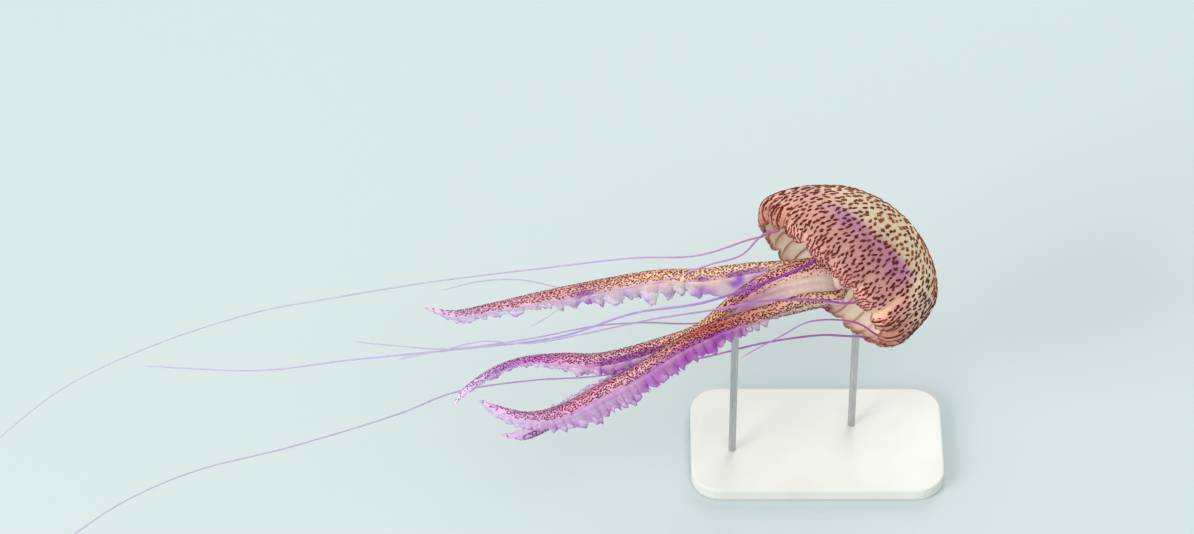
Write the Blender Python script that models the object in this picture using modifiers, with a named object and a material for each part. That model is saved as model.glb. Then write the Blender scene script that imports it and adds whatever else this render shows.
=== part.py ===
"""A life-size mauve stinger jellyfish, swimming, on a plain display stand.

The animal is modelled in its swimming plane: X to the right, Y up the slope,
Z off the plane, with the middle of the bell's rim at the origin.  An empty
then tips the plane up and lifts it over the stand.  The world origin is the
middle of the stand's underside.  Units are metres, +Z is up.
"""

import bpy
import bmesh
from math import ceil, cos, pi, radians, sin, sqrt
from mathutils import Matrix, Vector

GAP = 0.0003                     # left between any two neighbouring pieces

# Pose of the swimming plane
POSE_TILT = radians(45)
RIM_HEIGHT = 0.098               # middle of the bell's rim above the floor

# Bell, in its own frame: x along the chord, z to the apex
BELL_TURN = radians(46)          # the axis, from +X towards +Y in the plane
BELL_NOD = radians(6)            # the apex dips behind the plane
BELL_RADIUS = 0.0396
EQUATOR_HEIGHT = 0.0078
DOME_HEIGHT = 0.0333
CAVITY_HEIGHT = 0.0182
LEAN = 0.0048                    # the dome's crown leans along the chord
LEAN_START = 0.005
LEAN_RISE = 0.027
LIP_DROP = 0.0115
LIP_WIDTH = 0.0099
LIP_TURN = radians(60)           # how far the lip curls under at a cleft
LAPPET_TURN = radians(20)        # how much further at a lappet's tip
RIM_LIFT = 0.0013                # the whole rim is drawn up
RIM_SWAY = 0.0018                # and hangs lower round one angle
RIM_LOW = radians(52)
WALL = 0.0038                    # jelly at the widest part
RIM_WALL = 0.0011
LAPPETS = 16
FIRST_ROOT = radians(-18)        # a tentacle hangs from the middle of every second lappet
SENSE_NOTCH = 0.30               # the others are nicked in the middle, at a sense organ
FURROW_MIN = 0.0006
FURROW_MAX = 0.0014
FURROW_MID = 0.32                # share of a furrow's depth below the plain profile
FURROW_REACH = 0.020
EQUATOR_SHARE = 0.72             # share of a profile that lies above the equator
BELL_STEPS = 64
DOME_RINGS = 7
LIP_RINGS = 4
CAVITY_RINGS = 4

# Manubrium, the stalk between the bell's ceiling and the four oral arms
STALK_POINTS = ((0.0155, 0.0105, -0.0018), (0.0095, 0.0048, -0.0008))
STALK_END = Vector((0.0040, 0.0010, 0.0))
STALK_END_AXIS = Vector((-0.97, -0.24, 0.0)).normalized()
STALK_TOP = 0.0245               # height of its top ring in the bell's frame
STALK_CAP = 0.0010
STALK_RADII = (0.0118, 0.0090, 0.0086, 0.0094)
STALK_LOBE = 0.10
STALK_STEPS = 24
STALK_RINGS = 8

# Oral arms: crest of the warty rib as (x, y, z), the way the crest faces in
# degrees from +Z towards +Y, and the depth from crest to the frills' hem
ORAL_ARMS = (
    ((0.0020, 0.0095, -0.0060, 125, 0.0070), (-0.013, 0.0088, -0.0070, 105, 0.0080),
     (-0.030, 0.0078, -0.0070, 82, 0.0092), (-0.048, 0.0054, -0.0070, 72, 0.0110),
     (-0.066, 0.0048, -0.0070, 70, 0.0130), (-0.084, 0.0020, -0.0070, 70, 0.0126),
     (-0.108, -0.0028, -0.0070, 70, 0.0090), (-0.133, -0.0084, -0.0060, 75, 0.0070),
     (-0.148, -0.0112, -0.0050, 85, 0.0055), (-0.160, -0.0096, -0.0040, 95, 0.0010)),
    ((0.0030, 0.0092, 0.0060, 52, 0.0140), (-0.0075, 0.0088, 0.0075, 57, 0.0142),
     (-0.023, 0.0036, 0.0080, 62, 0.0130), (-0.0355, -0.0042, 0.0080, 62, 0.0120),
     (-0.050, -0.0164, 0.0070, 65, 0.0130), (-0.064, -0.0218, 0.0060, 68, 0.0130),
     (-0.090, -0.0284, 0.0060, 70, 0.0120), (-0.104, -0.0284, 0.0060, 70, 0.0090),
     (-0.121, -0.0300, 0.0060, 72, 0.0050), (-0.133, -0.0344, 0.0060, 74, 0.0052),
     (-0.144, -0.0424, 0.0060, 76, 0.0040), (-0.1485, -0.049, 0.0060, 80, 0.0010)),
    ((0.0060, -0.0048, 0.0090, 5, 0.0070), (-0.007, -0.0064, 0.0130, 10, 0.0080),
     (-0.023, -0.0106, 0.0160, 22, 0.0100), (-0.043, -0.0160, 0.0165, 45, 0.0120),
     (-0.062, -0.0246, 0.0160, 62, 0.0120), (-0.0745, -0.0328, 0.0150, 68, 0.0120),
     (-0.093, -0.0424, 0.0140, 70, 0.0130), (-0.105, -0.0488, 0.0130, 70, 0.0110),
     (-0.118, -0.0516, 0.0120, 74, 0.0070), (-0.130, -0.0490, 0.0110, 80, 0.0050),
     (-0.1372, -0.0466, 0.0100, 85, 0.0010)),
    ((0.0050, -0.0075, -0.0090, -140, 0.0070), (-0.008, -0.0110, -0.0110, -145, 0.0080),
     (-0.026, -0.0155, -0.0120, -145, 0.0100), (-0.046, -0.0250, -0.0120, -132, 0.0120),
     (-0.070, -0.0390, -0.0110, -118, 0.0120), (-0.090, -0.0500, -0.0100, -105, 0.0110),
     (-0.108, -0.0588, -0.0090, -95, 0.0090), (-0.120, -0.0638, -0.0080, -90, 0.0060),
     (-0.1292, -0.0622, -0.0080, -90, 0.0010)),
)
ARM_SPAN = 0.0052                # between the stations of an arm's loft
ARM_LENGTHS = ("base", "mid", "tip")
RIB_SHARE = 0.52                 # of an arm's depth
RIB_DEPTH = 0.0052
RIB_WIDTH = 0.0027               # half of the rib's width
FRILL_SHEET = 0.0009
RUFFLE_LENGTH = 0.017
RUFFLE_SWING = 0.0013
RUFFLE_FULL = 0.006              # frill length with the full swing

# Tentacles: root diameter, tip diameter and the points after the root, which
# lies inside the bell's rim, that many degrees round it
TENTACLES = (
    (-162, 0.0011, 0.0007,
     ((-0.030, 0.0168, -0.0100), (-0.050, 0.0106, -0.0120), (-0.076, 0.0096, -0.0130),
      (-0.108, 0.0060, -0.0130), (-0.157, 0.0000, -0.0120), (-0.195, -0.0062, -0.0110),
      (-0.229, -0.0126, -0.0100), (-0.274, -0.0276, -0.0080), (-0.307, -0.0440, -0.0070),
      (-0.337, -0.0680, -0.0060))),
    (153, 0.0012, 0.0006,
     ((-0.0245, 0.0190, 0.0130), (-0.033, 0.0108, 0.0100), (-0.046, 0.0068, 0.0060),
      (-0.064, 0.0006, 0.0020), (-0.084, -0.0038, 0.0010), (-0.102, -0.0088, 0.0010),
      (-0.112, -0.0150, 0.0010), (-0.118, -0.0182, 0.0010))),
    (108, 0.0022, 0.0007,
     ((-0.010, 0.0056, 0.0270), (-0.027, -0.0012, 0.0210), (-0.0495, -0.0084, 0.0160),
      (-0.076, -0.0124, 0.0130), (-0.105, -0.0216, 0.0120), (-0.148, -0.0270, 0.0110),
      (-0.190, -0.0312, 0.0100), (-0.224, -0.0352, 0.0090), (-0.271, -0.0336, 0.0080))),
    (63, 0.0014, 0.0007,
     ((0.0080, -0.0084, 0.0260), (-0.006, -0.0070, 0.0240), (-0.023, -0.0074, 0.0230),
      (-0.043, -0.0108, 0.0210), (-0.070, -0.0150, 0.0180), (-0.096, -0.0206, 0.0160),
      (-0.118, -0.0244, 0.0150), (-0.136, -0.0236, 0.0145), (-0.151, -0.0268, 0.0145),
      (-0.170, -0.0308, 0.0140))),
    (18, 0.0013, 0.0006,
     ((0.0135, -0.0166, 0.0110), (0.003, -0.0150, 0.0120), (-0.0075, -0.0162, 0.0120),
      (-0.0175, -0.0216, 0.0110), (-0.027, -0.0266, 0.0100), (-0.0335, -0.0304, 0.0095))),
    (-27, 0.0013, 0.0007,
     ((0.0110, -0.0220, -0.0160), (0.000, -0.0216, -0.0200), (-0.023, -0.0248, -0.0245),
      (-0.046, -0.0304, -0.0275), (-0.070, -0.0350, -0.0270), (-0.092, -0.0384, -0.0240),
      (-0.117, -0.0398, -0.0180), (-0.148, -0.0444, -0.0060), (-0.170, -0.0528, 0.0000),
      (-0.212, -0.0656, 0.0040), (-0.252, -0.0758, 0.0060), (-0.280, -0.0880, 0.0070),
      (-0.304, -0.1040, 0.0080))),
    (-72, 0.0012, 0.0006,
     ((-0.002, -0.0100, -0.0270), (-0.014, -0.0110, -0.0250), (-0.032, -0.0140, -0.0210),
      (-0.052, -0.0168, -0.0150), (-0.073, -0.0164, -0.0080), (-0.092, -0.0178, -0.0030),
      (-0.118, -0.0228, 0.0010), (-0.151, -0.0268, 0.0020), (-0.170, -0.0256, 0.0030),
      (-0.187, -0.0240, 0.0030))),
    (-117, 0.0010, 0.0006,
     ((-0.0165, 0.0060, -0.0260), (-0.030, 0.0040, -0.0230), (-0.055, 0.0010, -0.0190),
      (-0.085, -0.0030, -0.0170), (-0.104, -0.0026, -0.0160), (-0.120, 0.0006, -0.0160),
      (-0.136, 0.0004, -0.0150), (-0.154, -0.0036, -0.0140))),
)
ROOT_DROP = 0.0002               # a root starts this far under the rim
ROOT_CLEAR = 0.0007              # and this far inside the rim
ROOT_RUN = 0.0010                # and first runs this far along the bell's axis
TENTACLE_SPAN = 0.0095           # longest straight stretch of a tentacle's tube
TENTACLE_LENGTHS = ("base", "mid", "tip")

# Stand
PLATE_SIZE = (0.104, 0.058, 0.006)
PLATE_CORNER = 0.012
PLATE_EDGE = 0.0008
ROD_RADIUS = 0.0015
CUP_RADIUS = 0.0026
CUP_HEIGHT = 0.0016
BELL_ROD = (0.0146, 0.0084, 0.0637)      # where the rods' cups end
ARM_ROD = (-0.0350, -0.0057, 0.0746)

COLOURS = {
    "bell": (0.78, 0.46, 0.36, 1.0),
    "stalk": (0.80, 0.52, 0.48, 1.0),
    "arm": (0.66, 0.34, 0.36, 1.0),
    "tentacle": (0.52, 0.30, 0.66, 1.0),
    "plate": (0.80, 0.81, 0.79, 1.0),
    "rod": (0.60, 0.61, 0.62, 1.0),
}


def clear_scene():
    for thing in list(bpy.data.objects):
        bpy.data.objects.remove(thing, do_unlink=True)


def make_collection(name):
    collection = bpy.data.collections.new(name)
    bpy.context.scene.collection.children.link(collection)
    return collection


def make_material(name, colour, roughness, metallic=0.0):
    material = bpy.data.materials.new(name)
    material.use_nodes = True
    shader = material.node_tree.nodes["Principled BSDF"]
    shader.inputs["Base Color"].default_value = colour
    shader.inputs["Roughness"].default_value = roughness
    shader.inputs["Metallic"].default_value = metallic
    return material


def add_object(name, data, collection, material, parent=None):
    thing = bpy.data.objects.new(name, data)
    data.materials.append(material)
    collection.objects.link(thing)
    thing.parent = parent
    return thing


def smoothstep(value):
    value = min(1.0, max(0.0, value))
    return value * value * (3.0 - 2.0 * value)


def curve_value(points, place):
    """A smooth curve through rows of numbers, read at a row index that may be a fraction."""
    last = len(points) - 1
    index = min(int(place), last - 1)
    part = place - index
    p1 = points[index]
    p2 = points[index + 1]
    p0 = points[index - 1] if index > 0 else [2 * a - b for a, b in zip(p1, p2)]
    p3 = points[index + 2] if index + 2 <= last else [2 * b - a for a, b in zip(p1, p2)]
    steps = [max(dist(a, b), 1e-6) ** 0.5 for a, b in ((p0, p1), (p1, p2), (p2, p3))]
    result = []
    for a, b, c, d in zip(p0, p1, p2, p3):
        out_b = ((b - a) / steps[0] - (c - a) / (steps[0] + steps[1]) + (c - b) / steps[1]) * steps[1]
        in_c = ((c - b) / steps[1] - (d - b) / (steps[1] + steps[2]) + (d - c) / steps[2]) * steps[1]
        cubic = 2 * (b - c) + out_b + in_c
        square = -3 * (b - c) - 2 * out_b - in_c
        result.append(((cubic * part + square) * part + out_b) * part + b)
    return result


def dist(a, b):
    return sqrt(sum((x - y) ** 2 for x, y in zip(a[:3], b[:3])))


def even_places(points, count, fine=24):
    """Row places that cut the smooth curve through the points into equal lengths."""
    places = [i / fine for i in range((len(points) - 1) * fine + 1)]
    spots = [curve_value(points, place) for place in places]
    run = [0.0]
    for a, b in zip(spots, spots[1:]):
        run.append(run[-1] + dist(a, b))
    even = []
    at = 0
    for i in range(count + 1):
        goal = run[-1] * i / count
        while at < len(run) - 2 and run[at + 1] < goal:
            at += 1
        part = (goal - run[at]) / (run[at + 1] - run[at])
        even.append(places[at] + part / fine)
    return even, run[-1]


def loft(rings, first_pole=None, last_pole=None):
    """A closed mesh through rings of equal count, each end a flat cap or a fan to a pole."""
    bm = bmesh.new()
    rows = [[bm.verts.new(point) for point in ring] for ring in rings]
    count = len(rows[0])
    for upper, lower in zip(rows, rows[1:]):
        for i in range(count):
            j = (i + 1) % count
            bm.faces.new((upper[i], upper[j], lower[j], lower[i]))
    for row, pole in ((rows[0], first_pole), (rows[-1], last_pole)):
        if pole is None:
            bm.faces.new(row)
            continue
        tip = bm.verts.new(pole)
        for i in range(count):
            bm.faces.new((row[i], row[(i + 1) % count], tip))
    bmesh.ops.recalc_face_normals(bm, faces=bm.faces)
    mesh = bpy.data.meshes.new("loft")
    bm.to_mesh(mesh)
    bm.free()
    mesh.shade_smooth()
    return mesh


# ---- bell ----

def bell_frame():
    """Turns bell coordinates into the swimming plane: chord, away from the viewer's side, apex."""
    turn = Matrix.Rotation(BELL_TURN - pi / 2, 3, "Z")
    nod = Matrix.Rotation(BELL_NOD, 3, "X")
    stand_up = Matrix.Rotation(-pi / 2, 3, "X")
    return turn @ nod.inverted() @ stand_up


def rim_turn(angle):
    """Runs through a whole turn from one tentacle to the next."""
    return LAPPETS / 2 * (angle - FIRST_ROOT)


def ripple(angle):
    """0 at a cleft, 1 in the middle of a lappet."""
    return abs(cos(rim_turn(angle))) ** 0.7


def lappet(angle):
    """The rim's reach, 0 at a cleft and 1 on a lappet, less where a sense organ sits."""
    return ripple(angle) - SENSE_NOTCH * max(0.0, -cos(rim_turn(angle))) ** 6


def rim_shift(angle):
    """The rim hangs lower on one side."""
    return RIM_LIFT - RIM_SWAY * cos(angle - RIM_LOW)


def crown_lean(height):
    return LEAN * smoothstep((height - LEAN_START) / LEAN_RISE)


def furrow(angle, height):
    """How far the surface sinks between two lappets, or bulges on one."""
    depth = FURROW_MIN + (FURROW_MAX - FURROW_MIN) * abs(cos(angle)) ** 1.5
    return depth * (FURROW_MID - ripple(angle)) * smoothstep(1.0 - height / FURROW_REACH)


def bell_point(share, angle, inside=False):
    """share runs from 0 at the apex to 1 at the rim, angle goes round the axis."""
    wall = WALL if inside else 0.0
    if share <= EQUATOR_SHARE:
        arc = share / EQUATOR_SHARE * pi / 2
        radius = (BELL_RADIUS - wall) * sin(arc)
        rise = CAVITY_HEIGHT if inside else DOME_HEIGHT
        height = EQUATOR_HEIGHT + rise * cos(arc)
        shift = 0.0
    else:
        part = (share - EQUATOR_SHARE) / (1.0 - EQUATOR_SHARE)
        arc = part * (LIP_TURN + LAPPET_TURN * lappet(angle))
        if inside:
            wall = WALL + (RIM_WALL - WALL) * part
        radius = BELL_RADIUS - LIP_WIDTH + (LIP_WIDTH - wall) * cos(arc)
        height = EQUATOR_HEIGHT - (LIP_DROP - wall) * sin(arc)
        shift = rim_shift(angle) * part ** 1.5
    fade = 1.0
    if inside:
        fade = smoothstep((share - 0.5) / 0.3)
    radius -= furrow(angle, height) * fade
    x = radius * cos(angle) + crown_lean(height)
    return Vector((x, radius * sin(angle), height + shift))


def profile_shares(dome_rings, lip_rings):
    dome = [EQUATOR_SHARE * (i + 1) / dome_rings for i in range(dome_rings)]
    lip = [EQUATOR_SHARE + (1 - EQUATOR_SHARE) * (i + 1) / lip_rings for i in range(lip_rings)]
    return dome + lip


def make_bell(name, collection, material, parent):
    turn = bell_frame()
    angles = [FIRST_ROOT + 2 * pi * i / BELL_STEPS for i in range(BELL_STEPS)]
    outside = [[turn @ bell_point(s, a) for a in angles]
               for s in profile_shares(DOME_RINGS, LIP_RINGS)]
    inside = [[turn @ bell_point(s, a, True) for a in angles]
              for s in profile_shares(CAVITY_RINGS, LIP_RINGS)]
    rings = outside + inside[::-1]
    mesh = loft(rings, turn @ bell_point(0.0, 0.0), turn @ bell_point(0.0, 0.0, True))
    return add_object(name, mesh, collection, material, parent)


# ---- manubrium ----

def stalk_ring(centre, axis, radius):
    """A four-lobed ring across the axis."""
    side = Vector((0.0, 0.0, 1.0))
    side = (side - axis * side.dot(axis)).normalized()
    up = side.cross(axis)
    ring = []
    for i in range(STALK_STEPS):
        angle = 2 * pi * i / STALK_STEPS
        reach = radius * (1.0 + STALK_LOBE * cos(4 * (angle - pi / 4)))
        ring.append(centre + side * (reach * cos(angle)) + up * (reach * sin(angle)))
    return ring


def make_manubrium(name, collection, material, parent):
    turn = bell_frame()
    top = turn @ Vector((crown_lean(STALK_TOP), 0.0, STALK_TOP))
    bell_axis = turn @ Vector((0.0, 0.0, 1.0))
    points = [tuple(top), *STALK_POINTS, tuple(STALK_END)]
    places, _ = even_places(points, STALK_RINGS)
    rings = []
    for i, place in enumerate(places):
        here = Vector(curve_value(points, place))
        share = i / STALK_RINGS
        axis = (-bell_axis).lerp(STALK_END_AXIS, smoothstep(share)).normalized()
        radius = curve_value([(value,) for value in STALK_RADII], share * (len(STALK_RADII) - 1))[0]
        rings.append(stalk_ring(here, axis, radius))
    mesh = loft(rings, top + bell_axis * STALK_CAP)
    return add_object(name, mesh, collection, material, parent)


# ---- oral arms ----

def arm_section(depth, run):
    """Points round an arm's section as (across, down from the crest)."""
    rib = min(RIB_DEPTH, RIB_SHARE * depth)
    half = min(RIB_WIDTH, 0.3 * depth + 0.0002)
    frill = depth - rib
    sheet = min(FRILL_SHEET, 0.7 * half)
    swing = RUFFLE_SWING * min(1.0, frill / RUFFLE_FULL) * sin(2 * pi * run / RUFFLE_LENGTH)
    right = [(0.72 * half, 0.12 * rib), (half, 0.50 * rib), (0.9 * half, rib),
             (0.75 * half + swing, depth), (0.75 * half + swing - sheet, depth),
             (0.9 * half - sheet, rib)]
    left = [(-0.9 * half + sheet, rib), (-0.75 * half + swing + sheet, depth),
            (-0.75 * half + swing, depth), (-0.9 * half, rib), (-half, 0.50 * rib),
            (-0.72 * half, 0.12 * rib)]
    return [(0.0, 0.0), *right, (0.0, 0.72 * rib), *left]


def arm_ring(points, place, run, slide):
    """The section's ring at a place on the arm, slid along the arm by a small distance."""
    x, y, z, facing, depth = curve_value(points, place)
    before = Vector(curve_value(points, max(0.0, place - 0.05))[:3])
    after = Vector(curve_value(points, min(len(points) - 1.0, place + 0.05))[:3])
    along = (after - before).normalized()
    crest = Vector((0.0, sin(radians(facing)), cos(radians(facing))))
    crest = (crest - along * crest.dot(along)).normalized()
    across = along.cross(crest)
    here = Vector((x, y, z)) + along * slide
    return [here + across * a - crest * b for a, b in arm_section(depth, run)]


def flatten_root(ring):
    """Lays an arm's first ring on the manubrium's end, a gap away."""
    plane = STALK_END + STALK_END_AXIS * GAP
    return [point - STALK_END_AXIS * (point - plane).dot(STALK_END_AXIS) for point in ring]


def make_arm(number, points, collection, material, parent):
    _, length = even_places(points, 1)
    per_part = ceil(length / ARM_SPAN / len(ARM_LENGTHS))
    stations = per_part * len(ARM_LENGTHS)
    places, _ = even_places(points, stations)
    for k, part in enumerate(ARM_LENGTHS):
        first = k * per_part
        last = first + per_part
        rings = []
        for i in range(first, last + 1):
            slide = 0.0
            if i == first and k > 0:
                slide = GAP / 2
            if i == last and k < len(ARM_LENGTHS) - 1:
                slide = -GAP / 2
            rings.append(arm_ring(points, places[i], length * i / stations, slide))
        if k == 0:
            rings[0] = flatten_root(rings[0])
        name = f"oral_arm_{number}_{part}"
        add_object(name, loft(rings), collection, material, parent)


# ---- tentacles ----

def tentacle_root(angle, radius):
    """Two points: the root inside a lappet's rim, and where its straight start ends."""
    turn = bell_frame()
    rim = bell_point(1.0, angle, True)
    inward = Vector((cos(angle), sin(angle), 0.0)) * (radius + ROOT_CLEAR)
    root = rim - inward - Vector((0.0, 0.0, ROOT_DROP))
    end = root - Vector((0.0, 0.0, ROOT_RUN))
    return turn @ root, turn @ end


def make_tube(name, spots, radii, collection, material, parent):
    curve = bpy.data.curves.new(name, "CURVE")
    curve.dimensions = "3D"
    curve.bevel_depth = 1.0
    curve.bevel_resolution = 1
    curve.use_fill_caps = True
    spline = curve.splines.new("POLY")
    spline.points.add(len(spots) - 1)
    for point, spot, radius in zip(spline.points, spots, radii):
        point.co = (*spot, 1.0)
        point.radius = radius
    return add_object(name, curve, collection, material, parent)


def make_tentacle(number, row, collection, material, parent):
    degrees, root_size, tip_size, route = row
    root, start = tentacle_root(radians(-degrees), root_size / 2)
    points = [tuple(root), tuple(start), *route]
    _, length = even_places(points, 1)
    per_part = ceil(length / TENTACLE_SPAN / len(TENTACLE_LENGTHS))
    stations = per_part * len(TENTACLE_LENGTHS)
    places, _ = even_places(points, stations)
    spots = [Vector(curve_value(points, place)) for place in places]
    radii = [(root_size + (tip_size - root_size) * (i / stations) ** 0.6) / 2
             for i in range(stations + 1)]
    for k, part in enumerate(TENTACLE_LENGTHS):
        first = k * per_part
        last = first + per_part
        stretch = [spot.copy() for spot in spots[first:last + 1]]
        if k > 0:
            stretch[0] += (stretch[1] - stretch[0]).normalized() * GAP / 2
        if k < len(TENTACLE_LENGTHS) - 1:
            stretch[-1] += (stretch[-2] - stretch[-1]).normalized() * GAP / 2
        name = f"tentacle_{number}_{part}"
        make_tube(name, stretch, radii[first:last + 1], collection, material, parent)


# ---- stand ----

def make_plate(name, collection, material):
    bm = bmesh.new()
    bmesh.ops.create_cube(bm, size=1.0)
    bmesh.ops.scale(bm, vec=PLATE_SIZE, verts=bm.verts)
    upright = [e for e in bm.edges if abs(e.verts[0].co.z - e.verts[1].co.z) > 0.001]
    bmesh.ops.bevel(bm, geom=upright, offset=PLATE_CORNER, segments=6, affect="EDGES", profile=0.5)
    mesh = bpy.data.meshes.new(name)
    bm.to_mesh(mesh)
    bm.free()
    plate = add_object(name, mesh, collection, material)
    plate.location.z = PLATE_SIZE[2] / 2
    bevel = plate.modifiers.new("edge", "BEVEL")
    bevel.width = PLATE_EDGE
    bevel.segments = 2
    bevel.limit_method = "ANGLE"
    bevel.angle_limit = radians(40)


def make_rod(name, top, collection, material):
    """A turned rod with a small cup on top, its foot a gap above the plate."""
    foot = PLATE_SIZE[2] + GAP
    height = top[2] - foot
    profile = ((0.0, height - 0.35 * CUP_HEIGHT), (0.75 * CUP_RADIUS, height - 0.2 * CUP_HEIGHT),
               (CUP_RADIUS, height), (CUP_RADIUS, height - 0.3 * CUP_HEIGHT),
               (ROD_RADIUS, height - CUP_HEIGHT), (ROD_RADIUS, 0.0), (0.0, 0.0))
    mesh = bpy.data.meshes.new(name)
    corners = [(x, 0.0, z) for x, z in profile]
    mesh.from_pydata(corners, [(i, i + 1) for i in range(len(corners) - 1)], [])
    rod = add_object(name, mesh, collection, material)
    rod.location = (top[0], top[1], foot)
    screw = rod.modifiers.new("turn", "SCREW")
    screw.steps = 16
    screw.render_steps = 16
    screw.use_merge_vertices = True
    screw.merge_threshold = 0.00001


def main():
    clear_scene()
    parts = make_collection("mauve_stinger")
    pose = bpy.data.objects.new("swimming_plane", None)
    parts.objects.link(pose)
    pose.location.z = RIM_HEIGHT
    pose.rotation_euler.x = POSE_TILT

    def skin(name):
        return make_material(name, COLOURS[name.split("_")[0]], 0.35)

    make_bell("bell", parts, skin("bell"), pose)
    make_manubrium("manubrium", parts, skin("stalk"), pose)
    for number, points in enumerate(ORAL_ARMS, 1):
        make_arm(number, points, parts, skin(f"arm_{number}"), pose)
    for number, row in enumerate(TENTACLES, 1):
        make_tentacle(number, row, parts, skin(f"tentacle_{number}"), pose)
    make_plate("stand_plate", parts, make_material("plate", COLOURS["plate"], 0.5, 0.2))
    steel = make_material("rod", COLOURS["rod"], 0.35, 1.0)
    make_rod("stand_rod_bell", BELL_ROD, parts, steel)
    make_rod("stand_rod_arms", ARM_ROD, parts, steel)


main()
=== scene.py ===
"""The looks of a life-size mauve stinger jellyfish on its display stand.

One seamless skin of jelly replaces the solids of the bell, the manubrium, the
oral arms and the tentacles.  Thin ruffled lips hang under the arms' ribs, and
raised warts cover the bell and the ribs.  The stand keeps its CAD pieces.
Shapes are worked out in the swimming plane (X right, Y up the slope, Z off the
plane, metres) and then tipped and lifted over the stand, as in the CAD model.
"""

from math import ceil, cos, pi, radians, sin

import bpy
import numpy as np
from mathutils import Matrix, Vector


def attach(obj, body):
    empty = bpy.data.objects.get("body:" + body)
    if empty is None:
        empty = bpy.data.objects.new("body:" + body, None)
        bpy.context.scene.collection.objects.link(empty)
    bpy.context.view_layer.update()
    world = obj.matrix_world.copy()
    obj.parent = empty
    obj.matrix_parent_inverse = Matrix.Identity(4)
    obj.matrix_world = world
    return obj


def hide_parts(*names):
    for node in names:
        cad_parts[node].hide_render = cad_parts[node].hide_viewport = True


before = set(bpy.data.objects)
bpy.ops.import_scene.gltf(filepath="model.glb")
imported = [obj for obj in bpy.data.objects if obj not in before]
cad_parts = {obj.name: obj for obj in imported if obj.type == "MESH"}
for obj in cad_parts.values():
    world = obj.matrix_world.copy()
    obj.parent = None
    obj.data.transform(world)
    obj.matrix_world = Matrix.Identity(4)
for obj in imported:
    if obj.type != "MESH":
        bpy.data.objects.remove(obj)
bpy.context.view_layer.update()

COAT = 0.0003                    # the skin lies this far inside the solids, under the warts

# ---- the CAD model's own measures, as in the part's source ----

POSE_TILT = radians(45)
RIM_HEIGHT = 0.098

BELL_TURN = radians(46)
BELL_NOD = radians(6)
BELL_RADIUS = 0.0396
EQUATOR_HEIGHT = 0.0078
DOME_HEIGHT = 0.0333
CAVITY_HEIGHT = 0.0182
LEAN = 0.0048
LEAN_START = 0.005
LEAN_RISE = 0.027
LIP_DROP = 0.0115
LIP_WIDTH = 0.0099
LIP_TURN = radians(60)
LAPPET_TURN = radians(20)
RIM_LIFT = 0.0013
RIM_SWAY = 0.0018
RIM_LOW = radians(52)
WALL = 0.0038
RIM_WALL = 0.0011
LAPPETS = 16
FIRST_ROOT = radians(-18)
SENSE_NOTCH = 0.30
FURROW_MIN = 0.0006
FURROW_MAX = 0.0014
FURROW_MID = 0.32
FURROW_REACH = 0.020
EQUATOR_SHARE = 0.72

STALK_POINTS = ((0.0155, 0.0105, -0.0018), (0.0095, 0.0048, -0.0008))
STALK_END = Vector((0.0040, 0.0010, 0.0))
STALK_END_AXIS = Vector((-0.97, -0.24, 0.0)).normalized()
STALK_TOP = 0.0245
STALK_LOBE = 0.10

# Oral arms: the crest of the rib as (x, y, z), the way it faces in degrees, and the depth to the hem
ORAL_ARMS = (
    ((0.0020, 0.0095, -0.0060, 125, 0.0070), (-0.013, 0.0088, -0.0070, 105, 0.0080),
     (-0.030, 0.0078, -0.0070, 82, 0.0092), (-0.048, 0.0054, -0.0070, 72, 0.0110),
     (-0.066, 0.0048, -0.0070, 70, 0.0130), (-0.084, 0.0020, -0.0070, 70, 0.0126),
     (-0.108, -0.0028, -0.0070, 70, 0.0090), (-0.133, -0.0084, -0.0060, 75, 0.0070),
     (-0.148, -0.0112, -0.0050, 85, 0.0055), (-0.160, -0.0096, -0.0040, 95, 0.0010)),
    ((0.0030, 0.0092, 0.0060, 52, 0.0140), (-0.0075, 0.0088, 0.0075, 57, 0.0142),
     (-0.023, 0.0036, 0.0080, 62, 0.0130), (-0.0355, -0.0042, 0.0080, 62, 0.0120),
     (-0.050, -0.0164, 0.0070, 65, 0.0130), (-0.064, -0.0218, 0.0060, 68, 0.0130),
     (-0.090, -0.0284, 0.0060, 70, 0.0120), (-0.104, -0.0284, 0.0060, 70, 0.0090),
     (-0.121, -0.0300, 0.0060, 72, 0.0050), (-0.133, -0.0344, 0.0060, 74, 0.0052),
     (-0.144, -0.0424, 0.0060, 76, 0.0040), (-0.1485, -0.049, 0.0060, 80, 0.0010)),
    ((0.0060, -0.0048, 0.0090, 5, 0.0070), (-0.007, -0.0064, 0.0130, 10, 0.0080),
     (-0.023, -0.0106, 0.0160, 22, 0.0100), (-0.043, -0.0160, 0.0165, 45, 0.0120),
     (-0.062, -0.0246, 0.0160, 62, 0.0120), (-0.0745, -0.0328, 0.0150, 68, 0.0120),
     (-0.093, -0.0424, 0.0140, 70, 0.0130), (-0.105, -0.0488, 0.0130, 70, 0.0110),
     (-0.118, -0.0516, 0.0120, 74, 0.0070), (-0.130, -0.0490, 0.0110, 80, 0.0050),
     (-0.1372, -0.0466, 0.0100, 85, 0.0010)),
    ((0.0050, -0.0075, -0.0090, -140, 0.0070), (-0.008, -0.0110, -0.0110, -145, 0.0080),
     (-0.026, -0.0155, -0.0120, -145, 0.0100), (-0.046, -0.0250, -0.0120, -132, 0.0120),
     (-0.070, -0.0390, -0.0110, -118, 0.0120), (-0.090, -0.0500, -0.0100, -105, 0.0110),
     (-0.108, -0.0588, -0.0090, -95, 0.0090), (-0.120, -0.0638, -0.0080, -90, 0.0060),
     (-0.1292, -0.0622, -0.0080, -90, 0.0010)),
)
RIB_SHARE = 0.52
RIB_DEPTH = 0.0052
RIB_WIDTH = 0.0027

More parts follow.
